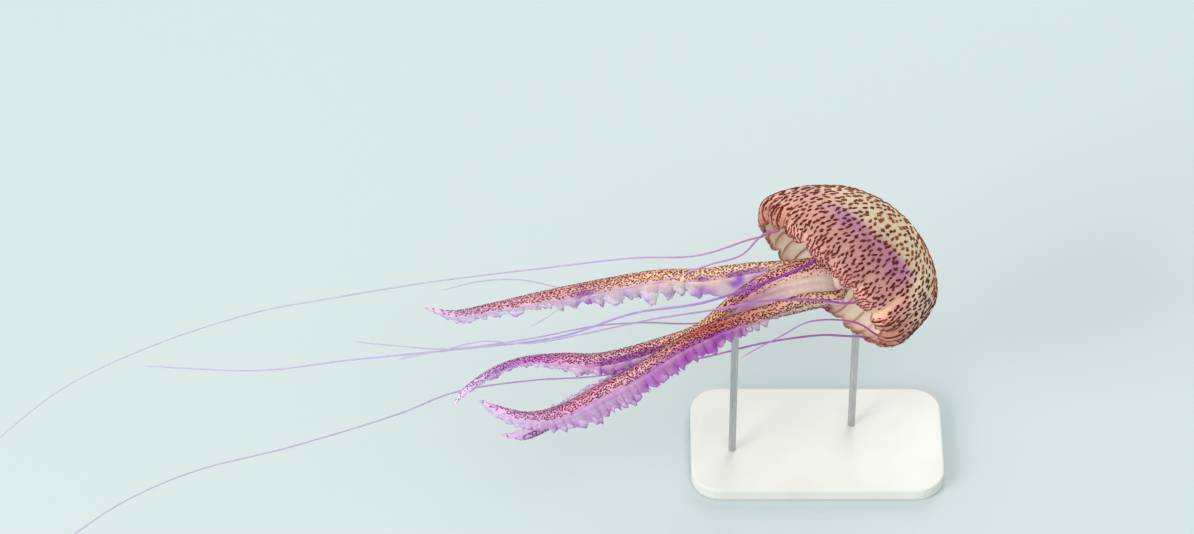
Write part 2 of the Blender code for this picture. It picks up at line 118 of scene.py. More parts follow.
# Tentacles: degrees round the rim, diameters at the root and the end, and the route
TENTACLES = (
    (-162, 0.0011, 0.0007,
     ((-0.030, 0.0168, -0.0100), (-0.050, 0.0106, -0.0120), (-0.076, 0.0096, -0.0130),
      (-0.108, 0.0060, -0.0130), (-0.157, 0.0000, -0.0120), (-0.195, -0.0062, -0.0110),
      (-0.229, -0.0126, -0.0100), (-0.274, -0.0276, -0.0080), (-0.307, -0.0440, -0.0070),
      (-0.337, -0.0680, -0.0060))),
    (153, 0.0012, 0.0006,
     ((-0.0245, 0.0190, 0.0130), (-0.033, 0.0108, 0.0100), (-0.046, 0.0068, 0.0060),
      (-0.064, 0.0006, 0.0020), (-0.084, -0.0038, 0.0010), (-0.102, -0.0088, 0.0010),
      (-0.112, -0.0150, 0.0010), (-0.118, -0.0182, 0.0010))),
    (108, 0.0022, 0.0007,
     ((-0.010, 0.0056, 0.0270), (-0.027, -0.0012, 0.0210), (-0.0495, -0.0084, 0.0160),
      (-0.076, -0.0124, 0.0130), (-0.105, -0.0216, 0.0120), (-0.148, -0.0270, 0.0110),
      (-0.190, -0.0312, 0.0100), (-0.224, -0.0352, 0.0090), (-0.271, -0.0336, 0.0080))),
    (63, 0.0014, 0.0007,
     ((0.0080, -0.0084, 0.0260), (-0.006, -0.0070, 0.0240), (-0.023, -0.0074, 0.0230),
      (-0.043, -0.0108, 0.0210), (-0.070, -0.0150, 0.0180), (-0.096, -0.0206, 0.0160),
      (-0.118, -0.0244, 0.0150), (-0.136, -0.0236, 0.0145), (-0.151, -0.0268, 0.0145),
      (-0.170, -0.0308, 0.0140))),
    (18, 0.0013, 0.0006,
     ((0.0135, -0.0166, 0.0110), (0.003, -0.0150, 0.0120), (-0.0075, -0.0162, 0.0120),
      (-0.0175, -0.0216, 0.0110), (-0.027, -0.0266, 0.0100), (-0.0335, -0.0304, 0.0095))),
    (-27, 0.0013, 0.0007,
     ((0.0110, -0.0220, -0.0160), (0.000, -0.0216, -0.0200), (-0.023, -0.0248, -0.0245),
      (-0.046, -0.0304, -0.0275), (-0.070, -0.0350, -0.0270), (-0.092, -0.0384, -0.0240),
      (-0.117, -0.0398, -0.0180), (-0.148, -0.0444, -0.0060), (-0.170, -0.0528, 0.0000),
      (-0.212, -0.0656, 0.0040), (-0.252, -0.0758, 0.0060), (-0.280, -0.0880, 0.0070),
      (-0.304, -0.1040, 0.0080))),
    (-72, 0.0012, 0.0006,
     ((-0.002, -0.0100, -0.0270), (-0.014, -0.0110, -0.0250), (-0.032, -0.0140, -0.0210),
      (-0.052, -0.0168, -0.0150), (-0.073, -0.0164, -0.0080), (-0.092, -0.0178, -0.0030),
      (-0.118, -0.0228, 0.0010), (-0.151, -0.0268, 0.0020), (-0.170, -0.0256, 0.0030),
      (-0.187, -0.0240, 0.0030))),
    (-117, 0.0010, 0.0006,
     ((-0.0165, 0.0060, -0.0260), (-0.030, 0.0040, -0.0230), (-0.055, 0.0010, -0.0190),
      (-0.085, -0.0030, -0.0170), (-0.104, -0.0026, -0.0160), (-0.120, 0.0006, -0.0160),
      (-0.136, 0.0004, -0.0150), (-0.154, -0.0036, -0.0140))),
)
ROOT_DROP = 0.0002
ROOT_CLEAR = 0.0007

# ---- the skin's own measures ----

GONAD_MIDDLE = radians(92)       # the azimuth of the gonad on the near side
GONAD_SPREAD = radians(25)       # from its middle to its limbs
GONAD_HEIGHT = 0.0212
GONAD_TOP = 0.0024
GONAD_FADE = 0.0062

CROWN_LOW = 0.0185               # the cream crown starts at this height,
CROWN_FADE = 0.0110              # is full this much higher,
CROWN_DIP = 0.0110               # and starts this much lower at the lower right
CROWN_WANDER = 0.0022            # how unevenly its edge runs

BELL_AROUND = 448                # steps round the bell
DOME_RINGS = 64
LIP_RINGS = 30
CAVITY_RINGS = 18
CAVITY_LIP_RINGS = 12
GROOVE_DEPTH = 0.0011            # narrow grooves between lappets
GROOVE_WIDTH = 0.0010            # half width high on the bell
GROOVE_SPREAD = 0.0009           # and what the rim adds to it
STRIPE_WIDTH = 0.0013
STRIPE_EXTRA = 0.0016
STRIPE_AZIMUTH = radians(51)     # where the stripes are palest and widest
FURROWS = 4                      # thin furrows to a lappet at the bell's two ends
FURROW_STEP = 2 * pi / (LAPPETS * FURROWS)
FURROW_LINE = 0.0006
FURROW_WOBBLE = 0.014            # radians that each furrow sways by
LINE_TOP = 0.66                  # the dark line in a furrow runs between these shares of the bell
LINE_END = 0.975
LINE_ROWS = 30
LINE_RADIUS = 0.00040
LINE_LEAST = 0.00003             # its radius where it runs out
LINE_RAISE = 0.00035             # it stands this far over the furrow's floor
LUMP_SIZE = 0.011
LUMP_RISE = 0.00018
RIM_ROLL = 0.0004                # how far the rim's edge is rounded out
RIM_CRIMP = 0.00028              # small waves along the rim
FOLD_RISE = 0.00105              # radial folds inside the bell

STALK_AROUND = 96
STALK_STEP = 0.0008
STALK_BEYOND = 0.0045            # the stalk's skin closes this far past the solid's end
STALK_MARKS = (0.0, 0.26, 0.55, 0.80, 0.93, 1.0)        # shares of the stalk's length, from its top,
STALK_SKIN = (0.0118, 0.0090, 0.0084, 0.0080, 0.0056, 0.0010)    # and its radius there
RIB_AROUND = 28
RIB_FALL = 1.06                  # the skin's rib against the solid's, from crest to underside
FLANK_POWER = 0.62               # 1 gives an oval section, less gives steeper flanks
ARM_STEP = 0.00125
STALK_REACH = 0.45               # how far each arm's start runs into the manubrium
SLIM = 0.78                      # the tentacles' skin against their solids
STOUTEST = 0.0017
ROOT_SHARE = 0.93                # how far down the bell's wall a tentacle starts
ROOT_SWELL = 0.4                 # how much thicker it is there,
ROOT_SWELL_RUN = 0.0025          # and the length over which that fades
BEADS = 0.05                     # how much its radius varies in fine beads,
BEAD_RUN = 0.0021                # and the metres to a radian of them
TIP_SHARE = 0.4                  # its last ring is narrowed to this share
TUBE_AROUND = 10
TUBE_STEP = 0.0022

LIP_STEP = 0.00042               # stations along a frilled lip
LIP_ROWS = 12
LIP_ROOT = 0.74                  # the lips leave the rib this far down its section
LIP_THICK = 0.00030              # at its root
HEM_THICK = 0.00014
RUFFLE_SWING = 0.0017
RUFFLE_CURL = 0.0009
FAR_LIP = 0.5                    # how much less the lip away from the viewer's side is folded
LIP_APART = 0.80                 # how far out on the rib the lips leave it, as a share of its half width,
LIP_CLOSE = 0.15                 # and how much of that they lose by the hem
LOOSENS = 0.012                  # the length over which a plain lip becomes frilled
FULL_LIP = 0.008                 # a lip less deep than this is folded less
LIP_SWAY = 0.0031                # metres along a lip to a radian of its slow waves,
SWAY_DEPTH = 0.16                # and the share of its depth that they take away
LOBE_LENGTHS = (0.40, 1.70)      # a hem's lobes, shortest and longest, against their stated length
LOBE_PEAKS = (0.40, 0.75)        # where along a lobe it stands out most
LOBE_RISES = (0.20, 1.0)         # and how far
TOOTH_LENGTH = 0.0021            # the small teeth along a lip's hem
MARGIN = 0.004                   # left free along the edges of the bake map
PATCH = 0.0015                   # the half width there of a wart or a furrow's line
WEB_ROWS = 60
WEB_COLUMNS = 16
WEB_APART = 0.85                 # how far out on a rib a web leaves it, as a share of its half width,
WEB_FALL = 0.55                  # and how far down the rib's section
RIB_COLUMNS = 60                 # steps across the part of a rib that has warts
WART_SINK = 0.5                  # the foot's depth below the skin, against a wart's height
WART_SHOULDER = 0.72             # the upper ring's share of the foot's size and of the height
ARM_WART_GAP = 0.00118
ROW_GAP = 0.86                   # from row to row of an arm's warts, against the gap within a row
WART_JITTER = 0.30               # how far a wart may stray, as a share of the gap,
RING_STRAY = 0.28                # and how far from its ring on the bell
RIB_WARTS_FROM = 0.0015          # an arm's warts start this far along it,
RIB_WARTS_SHORT = 0.0012         # stop this short of its tip,
RIB_WARTS_TURN = 0.70 * pi       # and reach this far round its section from the crest
ARM_WART_RISE = 0.00020
BELL_WART_MARKS = (0.0, 0.30, 0.52, 0.70, 0.84, 1.0)    # shares of the way from the apex to the rim,
BELL_WART_GAPS = (0.0035, 0.0032, 0.0028, 0.0025, 0.0018, 0.00125)    # and the gap between warts there
BELL_WARTS_FROM = 0.018          # the shares at which the first ring of warts lies and the last may lie
BELL_WARTS_TO = 0.995
BELL_ROW_GAP = 0.84              # from ring to ring, against the gap within a ring
BELL_WART_RISE = 0.00012         # a wart's height, and what it gains with the gap
BELL_WART_GAIN = 0.09
DOME_SLOPE = 0.0645              # metres down the bell to a share of 1, above the equator
LIP_SLOPE = 0.055                # and below it


def linear(red, green, blue):
    """A colour named by its 0-255 screen values, as linear light."""
    values = np.array((red, green, blue)) / 255.0
    low = values / 12.92
    high = ((values + 0.055) / 1.055) ** 2.4
    return np.where(values <= 0.04045, low, high)


def tints(*colours):
    """Linear-light colours from their 0-255 screen values."""
    return [linear(*colour) for colour in colours]


CREAM = linear(212, 194, 162)
IVORY = linear(222, 186, 158)
# The hollow's cream, made nearly white in part as painted light for the light that comes through the thin
# wall.
INNER = linear(255, 240, 229)
INNER_LINE = linear(168, 74, 60)
SALMON = linear(210, 158, 138)
PINK = linear(184, 132, 130)
TAN = linear(176, 116, 98)
BROWN = linear(96, 30, 16)
# The furrow lines' brown below is painted shade along the folded lappets' edges.
FURROW_SHADE_BROWN = linear(92, 34, 22)
GONAD = linear(156, 92, 158)
MILK = linear(226, 202, 196)
WART_DARK = linear(92, 14, 2)
WART_RUST = linear(148, 76, 6)
WART_RIM = linear(132, 52, 40)
WEB_TIP = linear(146, 66, 150)
PURPLE = linear(128, 44, 132)


# ---- number helpers ----

def smooth(value):
    """Eases from 0 to 1 while the value runs from 0 to 1."""
    value = np.clip(value, 0.0, 1.0)
    return value * value * (3.0 - 2.0 * value)


def ramp(value, start, width):
    """Eases from 0 at start to 1 a width further on; the width may be negative."""
    return smooth((value - start) / width)


def hump(value, middle, width):
    """1 at the middle, falling off on both sides within about a width."""
    return np.exp(-((value - middle) / width) ** 2)


def sector(azimuth, middle, width):
    """A hump round the bell, its middle and width in degrees."""
    return hump(azimuth, radians(middle), radians(width))


def blend(first, second, share):
    """Colours mixed by an array of shares."""
    share = np.asarray(share)[..., None]
    return first * (1.0 - share) + second * share


def layered(colour, *coats):
    """A colour with others laid over it in turn, each by its own share."""
    for paint, share in coats:
        colour = blend(colour, paint, share)
    return colour


def with_alpha(colour, alpha=1.0):
    return np.concatenate([colour, np.broadcast_to(alpha, colour.shape[:-1])[..., None]], axis=-1)


def waves(points, size, seed):
    """A smooth random field from -1 to 1, made of plane waves about size long."""
    count = 10
    rng = np.random.RandomState(seed)
    directions = rng.normal(size=(count, 3))
    directions /= np.linalg.norm(directions, axis=1)[:, None]
    lengths = size * rng.uniform(0.6, 1.6, count)
    phases = rng.uniform(0, 2 * pi, count)
    total = np.zeros(points.shape[:-1])
    for direction, turn, phase in zip(directions, 2 * pi / lengths, phases):
        total += np.sin(points @ direction * turn + phase)
    return total / (0.5 * count)


def curve_rows(points, places):
    """A smooth curve through rows of numbers, read at row indexes that may be fractions."""
    rows = np.array(points)
    rows = np.concatenate([2 * rows[:1] - rows[1:2], rows, 2 * rows[-1:] - rows[-2:-1]])
    index = np.minimum(places.astype(int), len(points) - 2)
    part = (places - index)[:, None]
    a, b, c, d = (rows[index + step] for step in range(4))
    gaps = (np.linalg.norm((q - p)[:, :3], axis=1, keepdims=True) for p, q in ((a, b), (b, c), (c, d)))
    before, here, after = (np.maximum(gap, 1e-6) ** 0.5 for gap in gaps)
    out_b = ((b - a) / before - (c - a) / (before + here) + (c - b) / here) * here
    in_c = ((c - b) / here - (d - b) / (here + after) + (d - c) / after) * here
    cubic = 2 * (b - c) + out_b + in_c
    square = -3 * (b - c) - 2 * out_b - in_c
    return ((cubic * part + square) * part + out_b) * part + b


def even_curve(points, step):
    """Rows at equal lengths along the smooth curve, and the lengths at which they lie."""
    fine = 24
    places = np.arange((len(points) - 1) * fine + 1) / fine
    spots = curve_rows(points, places)[:, :3]
    run = np.concatenate(([0.0], np.cumsum(np.linalg.norm(np.diff(spots, axis=0), axis=1))))
    goals = np.linspace(0.0, run[-1], ceil(run[-1] / step) + 1)
    return curve_rows(points, np.interp(goals, run, places)), goals


def read_table(places, marks, table):
    """Rows of numbers given at marks, read at places between them."""
    return np.stack([np.interp(places, marks, column) for column in np.asarray(table).T], axis=-1)


def read_grid(grid, row, column):
    """Values between a grid's points."""
    i = row.astype(int)
    j = column.astype(int)
    a = (row - i)[:, None]
    b = (column - j)[:, None]
    upper = grid[i, j] * (1 - b) + grid[i, j + 1] * b
    lower = grid[i + 1, j] * (1 - b) + grid[i + 1, j + 1] * b
    return upper * (1 - a) + lower * a


def unit(vectors):
    return vectors / np.maximum(np.linalg.norm(vectors, axis=-1, keepdims=True), 1e-12)


def heading(points):
    """Directions of travel down the rows of a line or grid of points."""
    return unit(np.gradient(points, axis=0))


def square_to(vectors, axis):
    """Directions of vectors once their part along an axis is taken away."""
    return unit(vectors - axis * (vectors * axis).sum(-1, keepdims=True))


def circle(sides):
    """Angles at equal steps round a circle."""
    return 2 * pi * np.arange(sides) / sides


def rings(centres, side, up, x, y):
    """For each centre, a row of points at distances x and y along its two directions."""
    return centres[:, None] + side[:, None] * x[..., None] + up[:, None] * y[..., None]


def grid_normals(grid, around=False):
    """Normals of a grid of points (rows, columns), closed round its columns or not."""
    down = np.gradient(grid, axis=0)
    if around:
        side = np.roll(grid, -1, axis=1) - np.roll(grid, 1, axis=1)
    else:
        side = np.gradient(grid, axis=1)
    return unit(np.cross(down, side))


def to_world(points):
    """From the swimming plane to the stand's frame."""
    turn = np.array(Matrix.Rotation(POSE_TILT, 3, "X"))
    return points @ turn.T + np.array((0.0, 0.0, RIM_HEIGHT))


# ---- meshes from grids ----

class Pieces:
    """Collects grids of points with their paint and bake-map places, for one joined mesh."""

    def __init__(self):
        self.points = []
        self.paint = []
        self.faces = []
        self.maps = []
        self.count = 0

    def add(self, points, paint, quads, triangles, places):
        """places holds a bake-map place for each corner, quads' corners first."""
        self.points.append(to_world(points.reshape(-1, 3)))
        self.paint.append(paint.reshape(-1, 4))
        self.faces += (quads + self.count).tolist() + (triangles + self.count).tolist()
        self.maps.append(places)
        self.count += len(self.points[-1])

    def make(self, name, material):
        """The joined mesh, with its bake map, its paint and its material."""
        mesh = bpy.data.meshes.new(name)
        mesh.from_pydata(np.concatenate(self.points), [], self.faces)
        layer = mesh.uv_layers.new(name="OFBake")
        layer.uv.foreach_set("vector", np.concatenate(self.maps).ravel())
        mesh.shade_smooth()
        colours = mesh.color_attributes.new("paint", "FLOAT_COLOR", "POINT")
        colours.data.foreach_set("color", np.concatenate(self.paint).ravel())
        mesh.validate()
        mesh.materials.append(material)
        piece = bpy.data.objects.new(name, mesh)
        bpy.context.scene.collection.objects.link(piece)
        return piece


def inset(share):
    """A place in the bake map from a 0-1 share, clear of the map's edges."""
    return 0.01 + 0.98 * share


def grid_faces(rows, columns, closed=False):
    """Quads of a grid of points, closed round its columns or not."""
    index = np.arange(rows * columns).reshape(rows, columns)
    after = np.roll(index, -1, axis=1)
    sides = columns if closed else columns - 1
    faces = np.stack([index[:-1], index[1:], after[1:], after[:-1]], axis=-1)
    return faces[:, :sides].reshape(-1, 4)


def add_tube(pieces, grid, paint, poles, patch):
    """A grid closed round its columns, with a fan to a pole point at each end.

    patch is the bake map's rectangle (left, bottom, right, top) for the grid.
    """
    rows, columns = grid.shape[:2]
    points = np.concatenate([grid.reshape(-1, 3), np.array(poles)])
    shades = np.concatenate([paint.reshape(-1, 4), paint[[0, -1], 0]])
    ring = np.arange(columns)
    after = (ring + 1) % columns
    base = (rows - 1) * columns
    pole = np.full(columns, rows * columns)
    fans = np.concatenate([np.stack([ring, after, pole], axis=-1),
                           np.stack([base + after, base + ring, pole + 1], axis=-1)])
    unrolled = grid_faces(rows, columns + 1).ravel()
    across = [unrolled % (columns + 1)]
    up = [1 + unrolled // (columns + 1)]
    for first, second, edge, tip in ((ring, ring + 1, 1, 0), (ring + 1, ring, rows, rows + 1)):
        across.append(np.stack([first, second, ring + 0.5], axis=-1).ravel())
        up.append(np.tile((edge, edge, tip), columns))
    left, bottom, right, top = patch
    places = np.stack([left + (right - left) * np.concatenate(across) / columns,
                       bottom + (top - bottom) * np.concatenate(up) / (rows + 1)], axis=-1)
    pieces.add(points, shades, grid_faces(rows, columns, True), fans, places)


def add_sheet(pieces, sheet, thick, paint, strip):
    """A closed sheet over a middle surface; each face has its own strip of the bake map."""
    rows, columns = sheet.shape[:2]
    total = rows * columns
    offset = grid_normals(sheet) * thick / 2
    front = grid_faces(rows, columns)
    back = front[:, ::-1] + total
    index = np.arange(total).reshape(rows, columns)
    loop = np.concatenate([index[0, :-1], index[:-1, -1], index[-1, :0:-1], index[:0:-1, 0]])
    after = np.roll(loop, -1)
    edge = np.stack([loop, after, after + total, loop + total], axis=-1)
    height = 1.0 / STRIPS
    across = MARGIN + (1.0 - 2 * MARGIN) * np.arange(rows) / (rows - 1)
    up = height * (strip + 0.1 + 0.8 * np.arange(columns) / (columns - 1))
    spot = np.stack(np.broadcast_arrays(across[:, None], up[None, :]), axis=-1).reshape(-1, 2)
    both = np.concatenate([spot, spot + np.array((0.0, height))])
    places = [both[front.ravel()], both[back.ravel()],
              spot[np.stack([loop, after, after, loop], axis=-1).ravel()]]
    none = np.zeros((0, 3), dtype=int)
    pieces.add(np.stack([sheet + offset, sheet - offset]), np.stack([paint, paint]),
               np.concatenate([front, back, edge]), none, np.concatenate(places))


# ---- bell ----

def to_plane(points):
    """From the bell's frame (chord, away from the viewer's side, apex) to the swimming plane."""
    turn = Matrix.Rotation(BELL_TURN - pi / 2, 3, "Z")
    nod = Matrix.Rotation(BELL_NOD, 3, "X")
    stand_up = Matrix.Rotation(-pi / 2, 3, "X")
    return np.asarray(points) @ np.array(turn @ nod.inverted() @ stand_up).T


def rim_turn(angle):
    """Runs through a whole turn from one tentacle to the next."""
    return LAPPETS / 2 * (angle - FIRST_ROOT)


def ripple(angle):
    """0 at a cleft, 1 in the middle of a lappet; a little softer than the solid's."""
    return np.abs(np.cos(rim_turn(angle))) ** 1.1


def sense_notch(angle):
    """1 at each sense organ, half way between two tentacles, and 0 across the lappets without one."""
    return np.maximum(0.0, -np.cos(rim_turn(angle)))


def lappet(angle):
    """The rim's reach, 0 at a cleft and 1 on a lappet, less where a sense organ sits."""
    return ripple(angle) - SENSE_NOTCH * sense_notch(angle) ** 6


def crown_lean(height):
    """How far the dome leans along the chord, at a height."""
    return LEAN * ramp(height, LEAN_START, LEAN_RISE)


def dome_arc(share):
    """The angle down the dome from its apex, up to the equator."""
    return np.minimum(share / EQUATOR_SHARE, 1.0) * pi / 2


def bell_surface(share, angle, inside):
    """Points of the plain bell: share from 0 at the apex to 1 at the rim, angle round the axis."""
    wall = WALL if inside else 0.0
    rise = CAVITY_HEIGHT if inside else DOME_HEIGHT
    dome_radius = (BELL_RADIUS - wall) * np.sin(dome_arc(share))
    dome_height = EQUATOR_HEIGHT + rise * np.cos(dome_arc(share))
    part = np.clip((share - EQUATOR_SHARE) / (1.0 - EQUATOR_SHARE), 0.0, 1.0)
    turn = part * (LIP_TURN + LAPPET_TURN * lappet(angle))
    edge = WALL + (RIM_WALL - WALL) * part if inside else 0.0
    lip_radius = BELL_RADIUS - LIP_WIDTH + (LIP_WIDTH - edge) * np.cos(turn)
    lip_height = EQUATOR_HEIGHT - (LIP_DROP - edge) * np.sin(turn)
    on_lip = share > EQUATOR_SHARE
    radius = np.where(on_lip, lip_radius, dome_radius)
    height = np.where(on_lip, lip_height, dome_height)
    depth = FURROW_MIN + (FURROW_MAX - FURROW_MIN) * np.abs(np.cos(angle)) ** 1.5
    sink = depth * (FURROW_MID - ripple(angle)) * smooth(1.0 - height / FURROW_REACH)
    if inside:
        sink = sink * ramp(share, 0.5, 0.3)
    radius = radius - sink
    shift = (RIM_LIFT - RIM_SWAY * np.cos(angle - RIM_LOW)) * part ** 1.5
    x = radius * np.cos(angle) + crown_lean(height)
    return np.stack([x, radius * np.sin(angle), height + shift], axis=-1)


def profile(dome_rings, lip_rings):
    """The shares at which the bell's rings lie, without the apex."""
    dome = EQUATOR_SHARE * np.arange(1, dome_rings + 1) / dome_rings
    lip = EQUATOR_SHARE + (1 - EQUATOR_SHARE) * np.arange(1, lip_rings + 1) / lip_rings
    return np.concatenate([dome, lip])


def nearest_line(angle, step):
    """How far an angle is from the nearest of the lines half way between multiples of a step."""
    return angle % step - step / 2


def groove(angle, radius, width):
    """1 on the line between two lappets, falling off within a groove's width."""
    return hump(nearest_line(angle - FIRST_ROOT, 2 * pi / LAPPETS) * radius, 0.0, width)


def groove_sink(share, angle, radius):
    """How far the skin draws in along the grooves, which run highest at the bell's two ends."""
    ends = np.abs(np.cos(angle)) ** 2
    low = smooth((share - 0.62 + 0.22 * ends) / 0.34)
    width = GROOVE_WIDTH + GROOVE_SPREAD * ramp(share, 0.70, 0.30)
    nick = sense_notch(angle) ** 40 * ramp(share, 0.84, 0.16)
    sink = groove(angle, radius, width) * low * (0.75 + 0.55 * ends) + 0.45 * nick
    return GROOVE_DEPTH * (sink + 0.6 * end_furrows(share, angle, radius))


def bell_directions(share, angle):
    """Directions on the plain bell: outward, down towards the rim, and round it."""
    down = bell_surface(share + 0.002, angle, False) - bell_surface(share - 0.002, angle, False)
    side = bell_surface(share, angle + 0.004, False) - bell_surface(share, angle - 0.004, False)
    return unit(np.cross(down, side)), unit(down), unit(side)


def from_axis(points):
    """Distances from the bell's axis."""
    return np.hypot(points[..., 0], points[..., 1])


def bell_outside(share, angle):
    """The outer skin with its grooves, lumps and crimped rim, and its outward normals."""
    points = bell_surface(share, angle, False)
    normals = bell_directions(share, angle)[0]
    rise = -COAT - groove_sink(share, angle, from_axis(points))
    rise += LUMP_RISE * waves(points, LUMP_SIZE, 3) * ramp(share, 1.0, -0.2)
    crimp = RIM_CRIMP * ramp(share, 0.90, 0.10)
    rise += crimp * np.cos(5 * rim_turn(angle) + 0.8 * np.sin(3 * angle))
    return points + normals * rise[..., None], normals


def bell_folds(angle):
    """Radial folds of the bell's inner side: 1 on the rounded folds, falling to -1 between them."""
    turn = 2 * rim_turn(angle) + 0.5 * np.sin(3 * angle)
    return 2.0 * np.abs(np.cos(turn)) ** 0.6 - 1.0


def bell_inside(share, angle):
    """The skin of the bell's hollow, with radial folds, following the grooves at the rim."""
    points = bell_surface(share, angle, True)
    fold = FOLD_RISE * bell_folds(angle) * ramp(share, 0.25, 0.3) * ramp(share, 1.0, -0.12)
    points = points - grid_normals(points, True) * fold[..., None]
    sink = groove_sink(share, angle, from_axis(points)) * ramp(share, 0.86, 0.12)
    return points - bell_directions(share, angle)[0] * sink[..., None]


def azimuth_of(angle):
    """The azimuth in radians, half a turn either way from the bell's lower right."""
    return (pi - angle) % (2 * pi) - pi


def gonad_mask(height, azimuth):
    """Four gonads seen through the jelly: violet bands, sharp above and fading towards the rim."""
    turn = azimuth - GONAD_MIDDLE
    off = nearest_line(turn + pi / 4, pi / 2)
    over = height - GONAD_HEIGHT
    band = hump(over, 0.0, np.where(over > 0.0, GONAD_TOP, GONAD_FADE))
    limbs = hump(np.abs(off), GONAD_SPREAD, radians(12)) + 0.55 * sector(off, 0, 20)
    near = ramp(np.cos(turn), 0.40, 0.35)
    return np.clip(1.15 * limbs * band, 0.0, 1.0) * (0.3 + 0.7 * near)


def bell_ends(angle):
    """1 at the two ends of the bell in the swimming plane, where its rim is folded most."""
    return ramp(np.abs(np.cos(angle)), 0.62, 0.24)


def furrow_sway(share, angle):
    """How far a furrow strays from its own angle."""
    return FURROW_WOBBLE * np.sin(7.0 * share + 3.0 * angle)


def end_furrows(share, angle, radius):
    """Thin nested furrows along the bell's two ends, several to a lappet."""
    bent = angle - FIRST_ROOT + furrow_sway(share, angle)
    off = nearest_line(bent + FURROW_STEP / 2, FURROW_STEP)
    return hump(off * radius, 0.0, FURROW_LINE) * bell_ends(angle) * ramp(share, 0.60, 0.24)


def bare_stripe(share, angle):
    """1 on the pale stripes without warts that run up from each cleft."""
    radius = BELL_RADIUS * np.sin(dome_arc(share))
    width = STRIPE_WIDTH + STRIPE_EXTRA * hump(azimuth_of(angle), STRIPE_AZIMUTH, radians(14))
    width = width * (0.45 + 0.55 * ramp(share, 0.60, 0.35))
    return groove(angle, radius, width) * ramp(share, 0.56, 0.22)


def root_stain(share, angle):
    """1 on the rim where a tentacle grows."""
    return np.maximum(0.0, np.cos(rim_turn(angle))) ** 6 * ramp(share, 0.86, 0.12)


def bell_paint(points, share, angle):
    """Cream crown, salmon sides, violet gonads, pale stripes, painted shade in the grooves, and painted
    light.
    """
    azimuth = azimuth_of(angle)
    height = points[..., 2]
    ends = bell_ends(angle)
    cloud = waves(points, size=0.016, seed=11)
    fine = waves(points, size=0.005, seed=12)
    salmon = blend(SALMON, PINK, np.clip(sector(azimuth, 80, 42) + 0.2 * cloud, 0.0, 1.0))
    crown_start = CROWN_LOW - CROWN_DIP * sector(azimuth, 22, 34)
    crown = ramp(height + CROWN_WANDER * cloud, crown_start, CROWN_FADE)
    gonads = 0.72 * gonad_mask(height, azimuth) * (0.85 + 0.15 * fine)
    # Painted light: the gain below lightens the paint towards the rim, most at the lower right and a little
    # on the left, and darkens it in the middle, to even out the bell's shading.
    lower_end = sector(azimuth, 30, 32) * ramp(height, 0.030, -0.012)
    gain = 0.92 + 0.40 * ramp(share, 0.74, 0.18) * (1.0 - ends)
    gain += 0.50 * lower_end * (1.0 - 0.7 * ends)
    gain += 0.10 * sector(azimuth, 165, 26) - 0.08 * sector(azimuth, 108, 26)
    colour = layered(salmon, (CREAM, crown), (GONAD, gonads)) * (gain + 0.05 * fine)[..., None]
    stripe = bare_stripe(share, angle) * (0.25 + 0.6 * hump(azimuth, STRIPE_AZIMUTH, 0.4))
    radius = from_axis(points)
    # Painted shade: the paint darkens along the grooves between lappets and in the furrows at the bell's
    # two ends.
    line = groove(angle, radius, 0.5 * FURROW_LINE) * ramp(share, 0.60, 0.22)
    dark = np.clip(0.2 * line + 0.45 * end_furrows(share, angle, radius), 0.0, 0.6)
    return with_alpha(layered(colour, (IVORY, stripe), (PURPLE, 0.5 * root_stain(share, angle)),
                              (TAN, 0.85 * ends * ramp(share, 0.70, 0.12)), (BROWN, dark),
                              (BROWN, 0.75 * ramp(share, 0.962, 0.038))))


def cavity_paint(points, share, angle):
    """Pale cream pushed nearly to white as painted light, with brown-pink lines between the folds, and a
    stained rim.
    """
    line = smooth(0.15 - 0.85 * bell_folds(angle)) * ramp(share, 0.35, 0.3)
    lower_end = hump(azimuth_of(angle), 0.0, 0.8) * ramp(share, 0.86, 0.10)
    cloud = smooth(0.5 + 0.5 * waves(points, size=0.012, seed=21))
    return with_alpha(layered(INNER, (INNER_LINE, 0.85 * line), (PINK, 0.08 * cloud),
                              (SALMON, 0.7 * lower_end), (PURPLE, 0.6 * root_stain(share, angle)),
                              (BROWN, 0.5 * ramp(share, 0.95, 0.05))))


def add_bell(pieces, patch):
    """The bell's outer skin, its rounded rim and the skin of its hollow, as one closed surface."""
    angle = FIRST_ROOT + circle(BELL_AROUND)
    share, turn = np.meshgrid(profile(DOME_RINGS, LIP_RINGS), angle, indexing="ij")
    outside = bell_outside(share, turn)[0]
    outside_paint = bell_paint(outside, share, turn)
    share, turn = np.meshgrid(profile(CAVITY_RINGS, CAVITY_LIP_RINGS), angle, indexing="ij")
    inside = bell_inside(share, turn)
    inside_paint = cavity_paint(inside, share, turn)
    rim = (outside[-1] + inside[-1]) / 2 + unit(outside[-1] - outside[-2]) * RIM_ROLL
    grid = np.concatenate([outside, rim[None], inside[::-1]])
    paint = np.concatenate([outside_paint, outside_paint[-1:], inside_paint[::-1]])
    top = np.array(0.0)
    apex = bell_surface(top, top, False) - np.array((0.0, 0.0, COAT))
    ceiling = bell_surface(top, top, True)
    add_tube(pieces, to_plane(grid), paint, to_plane([apex, ceiling]), patch)


# ---- manubrium ----

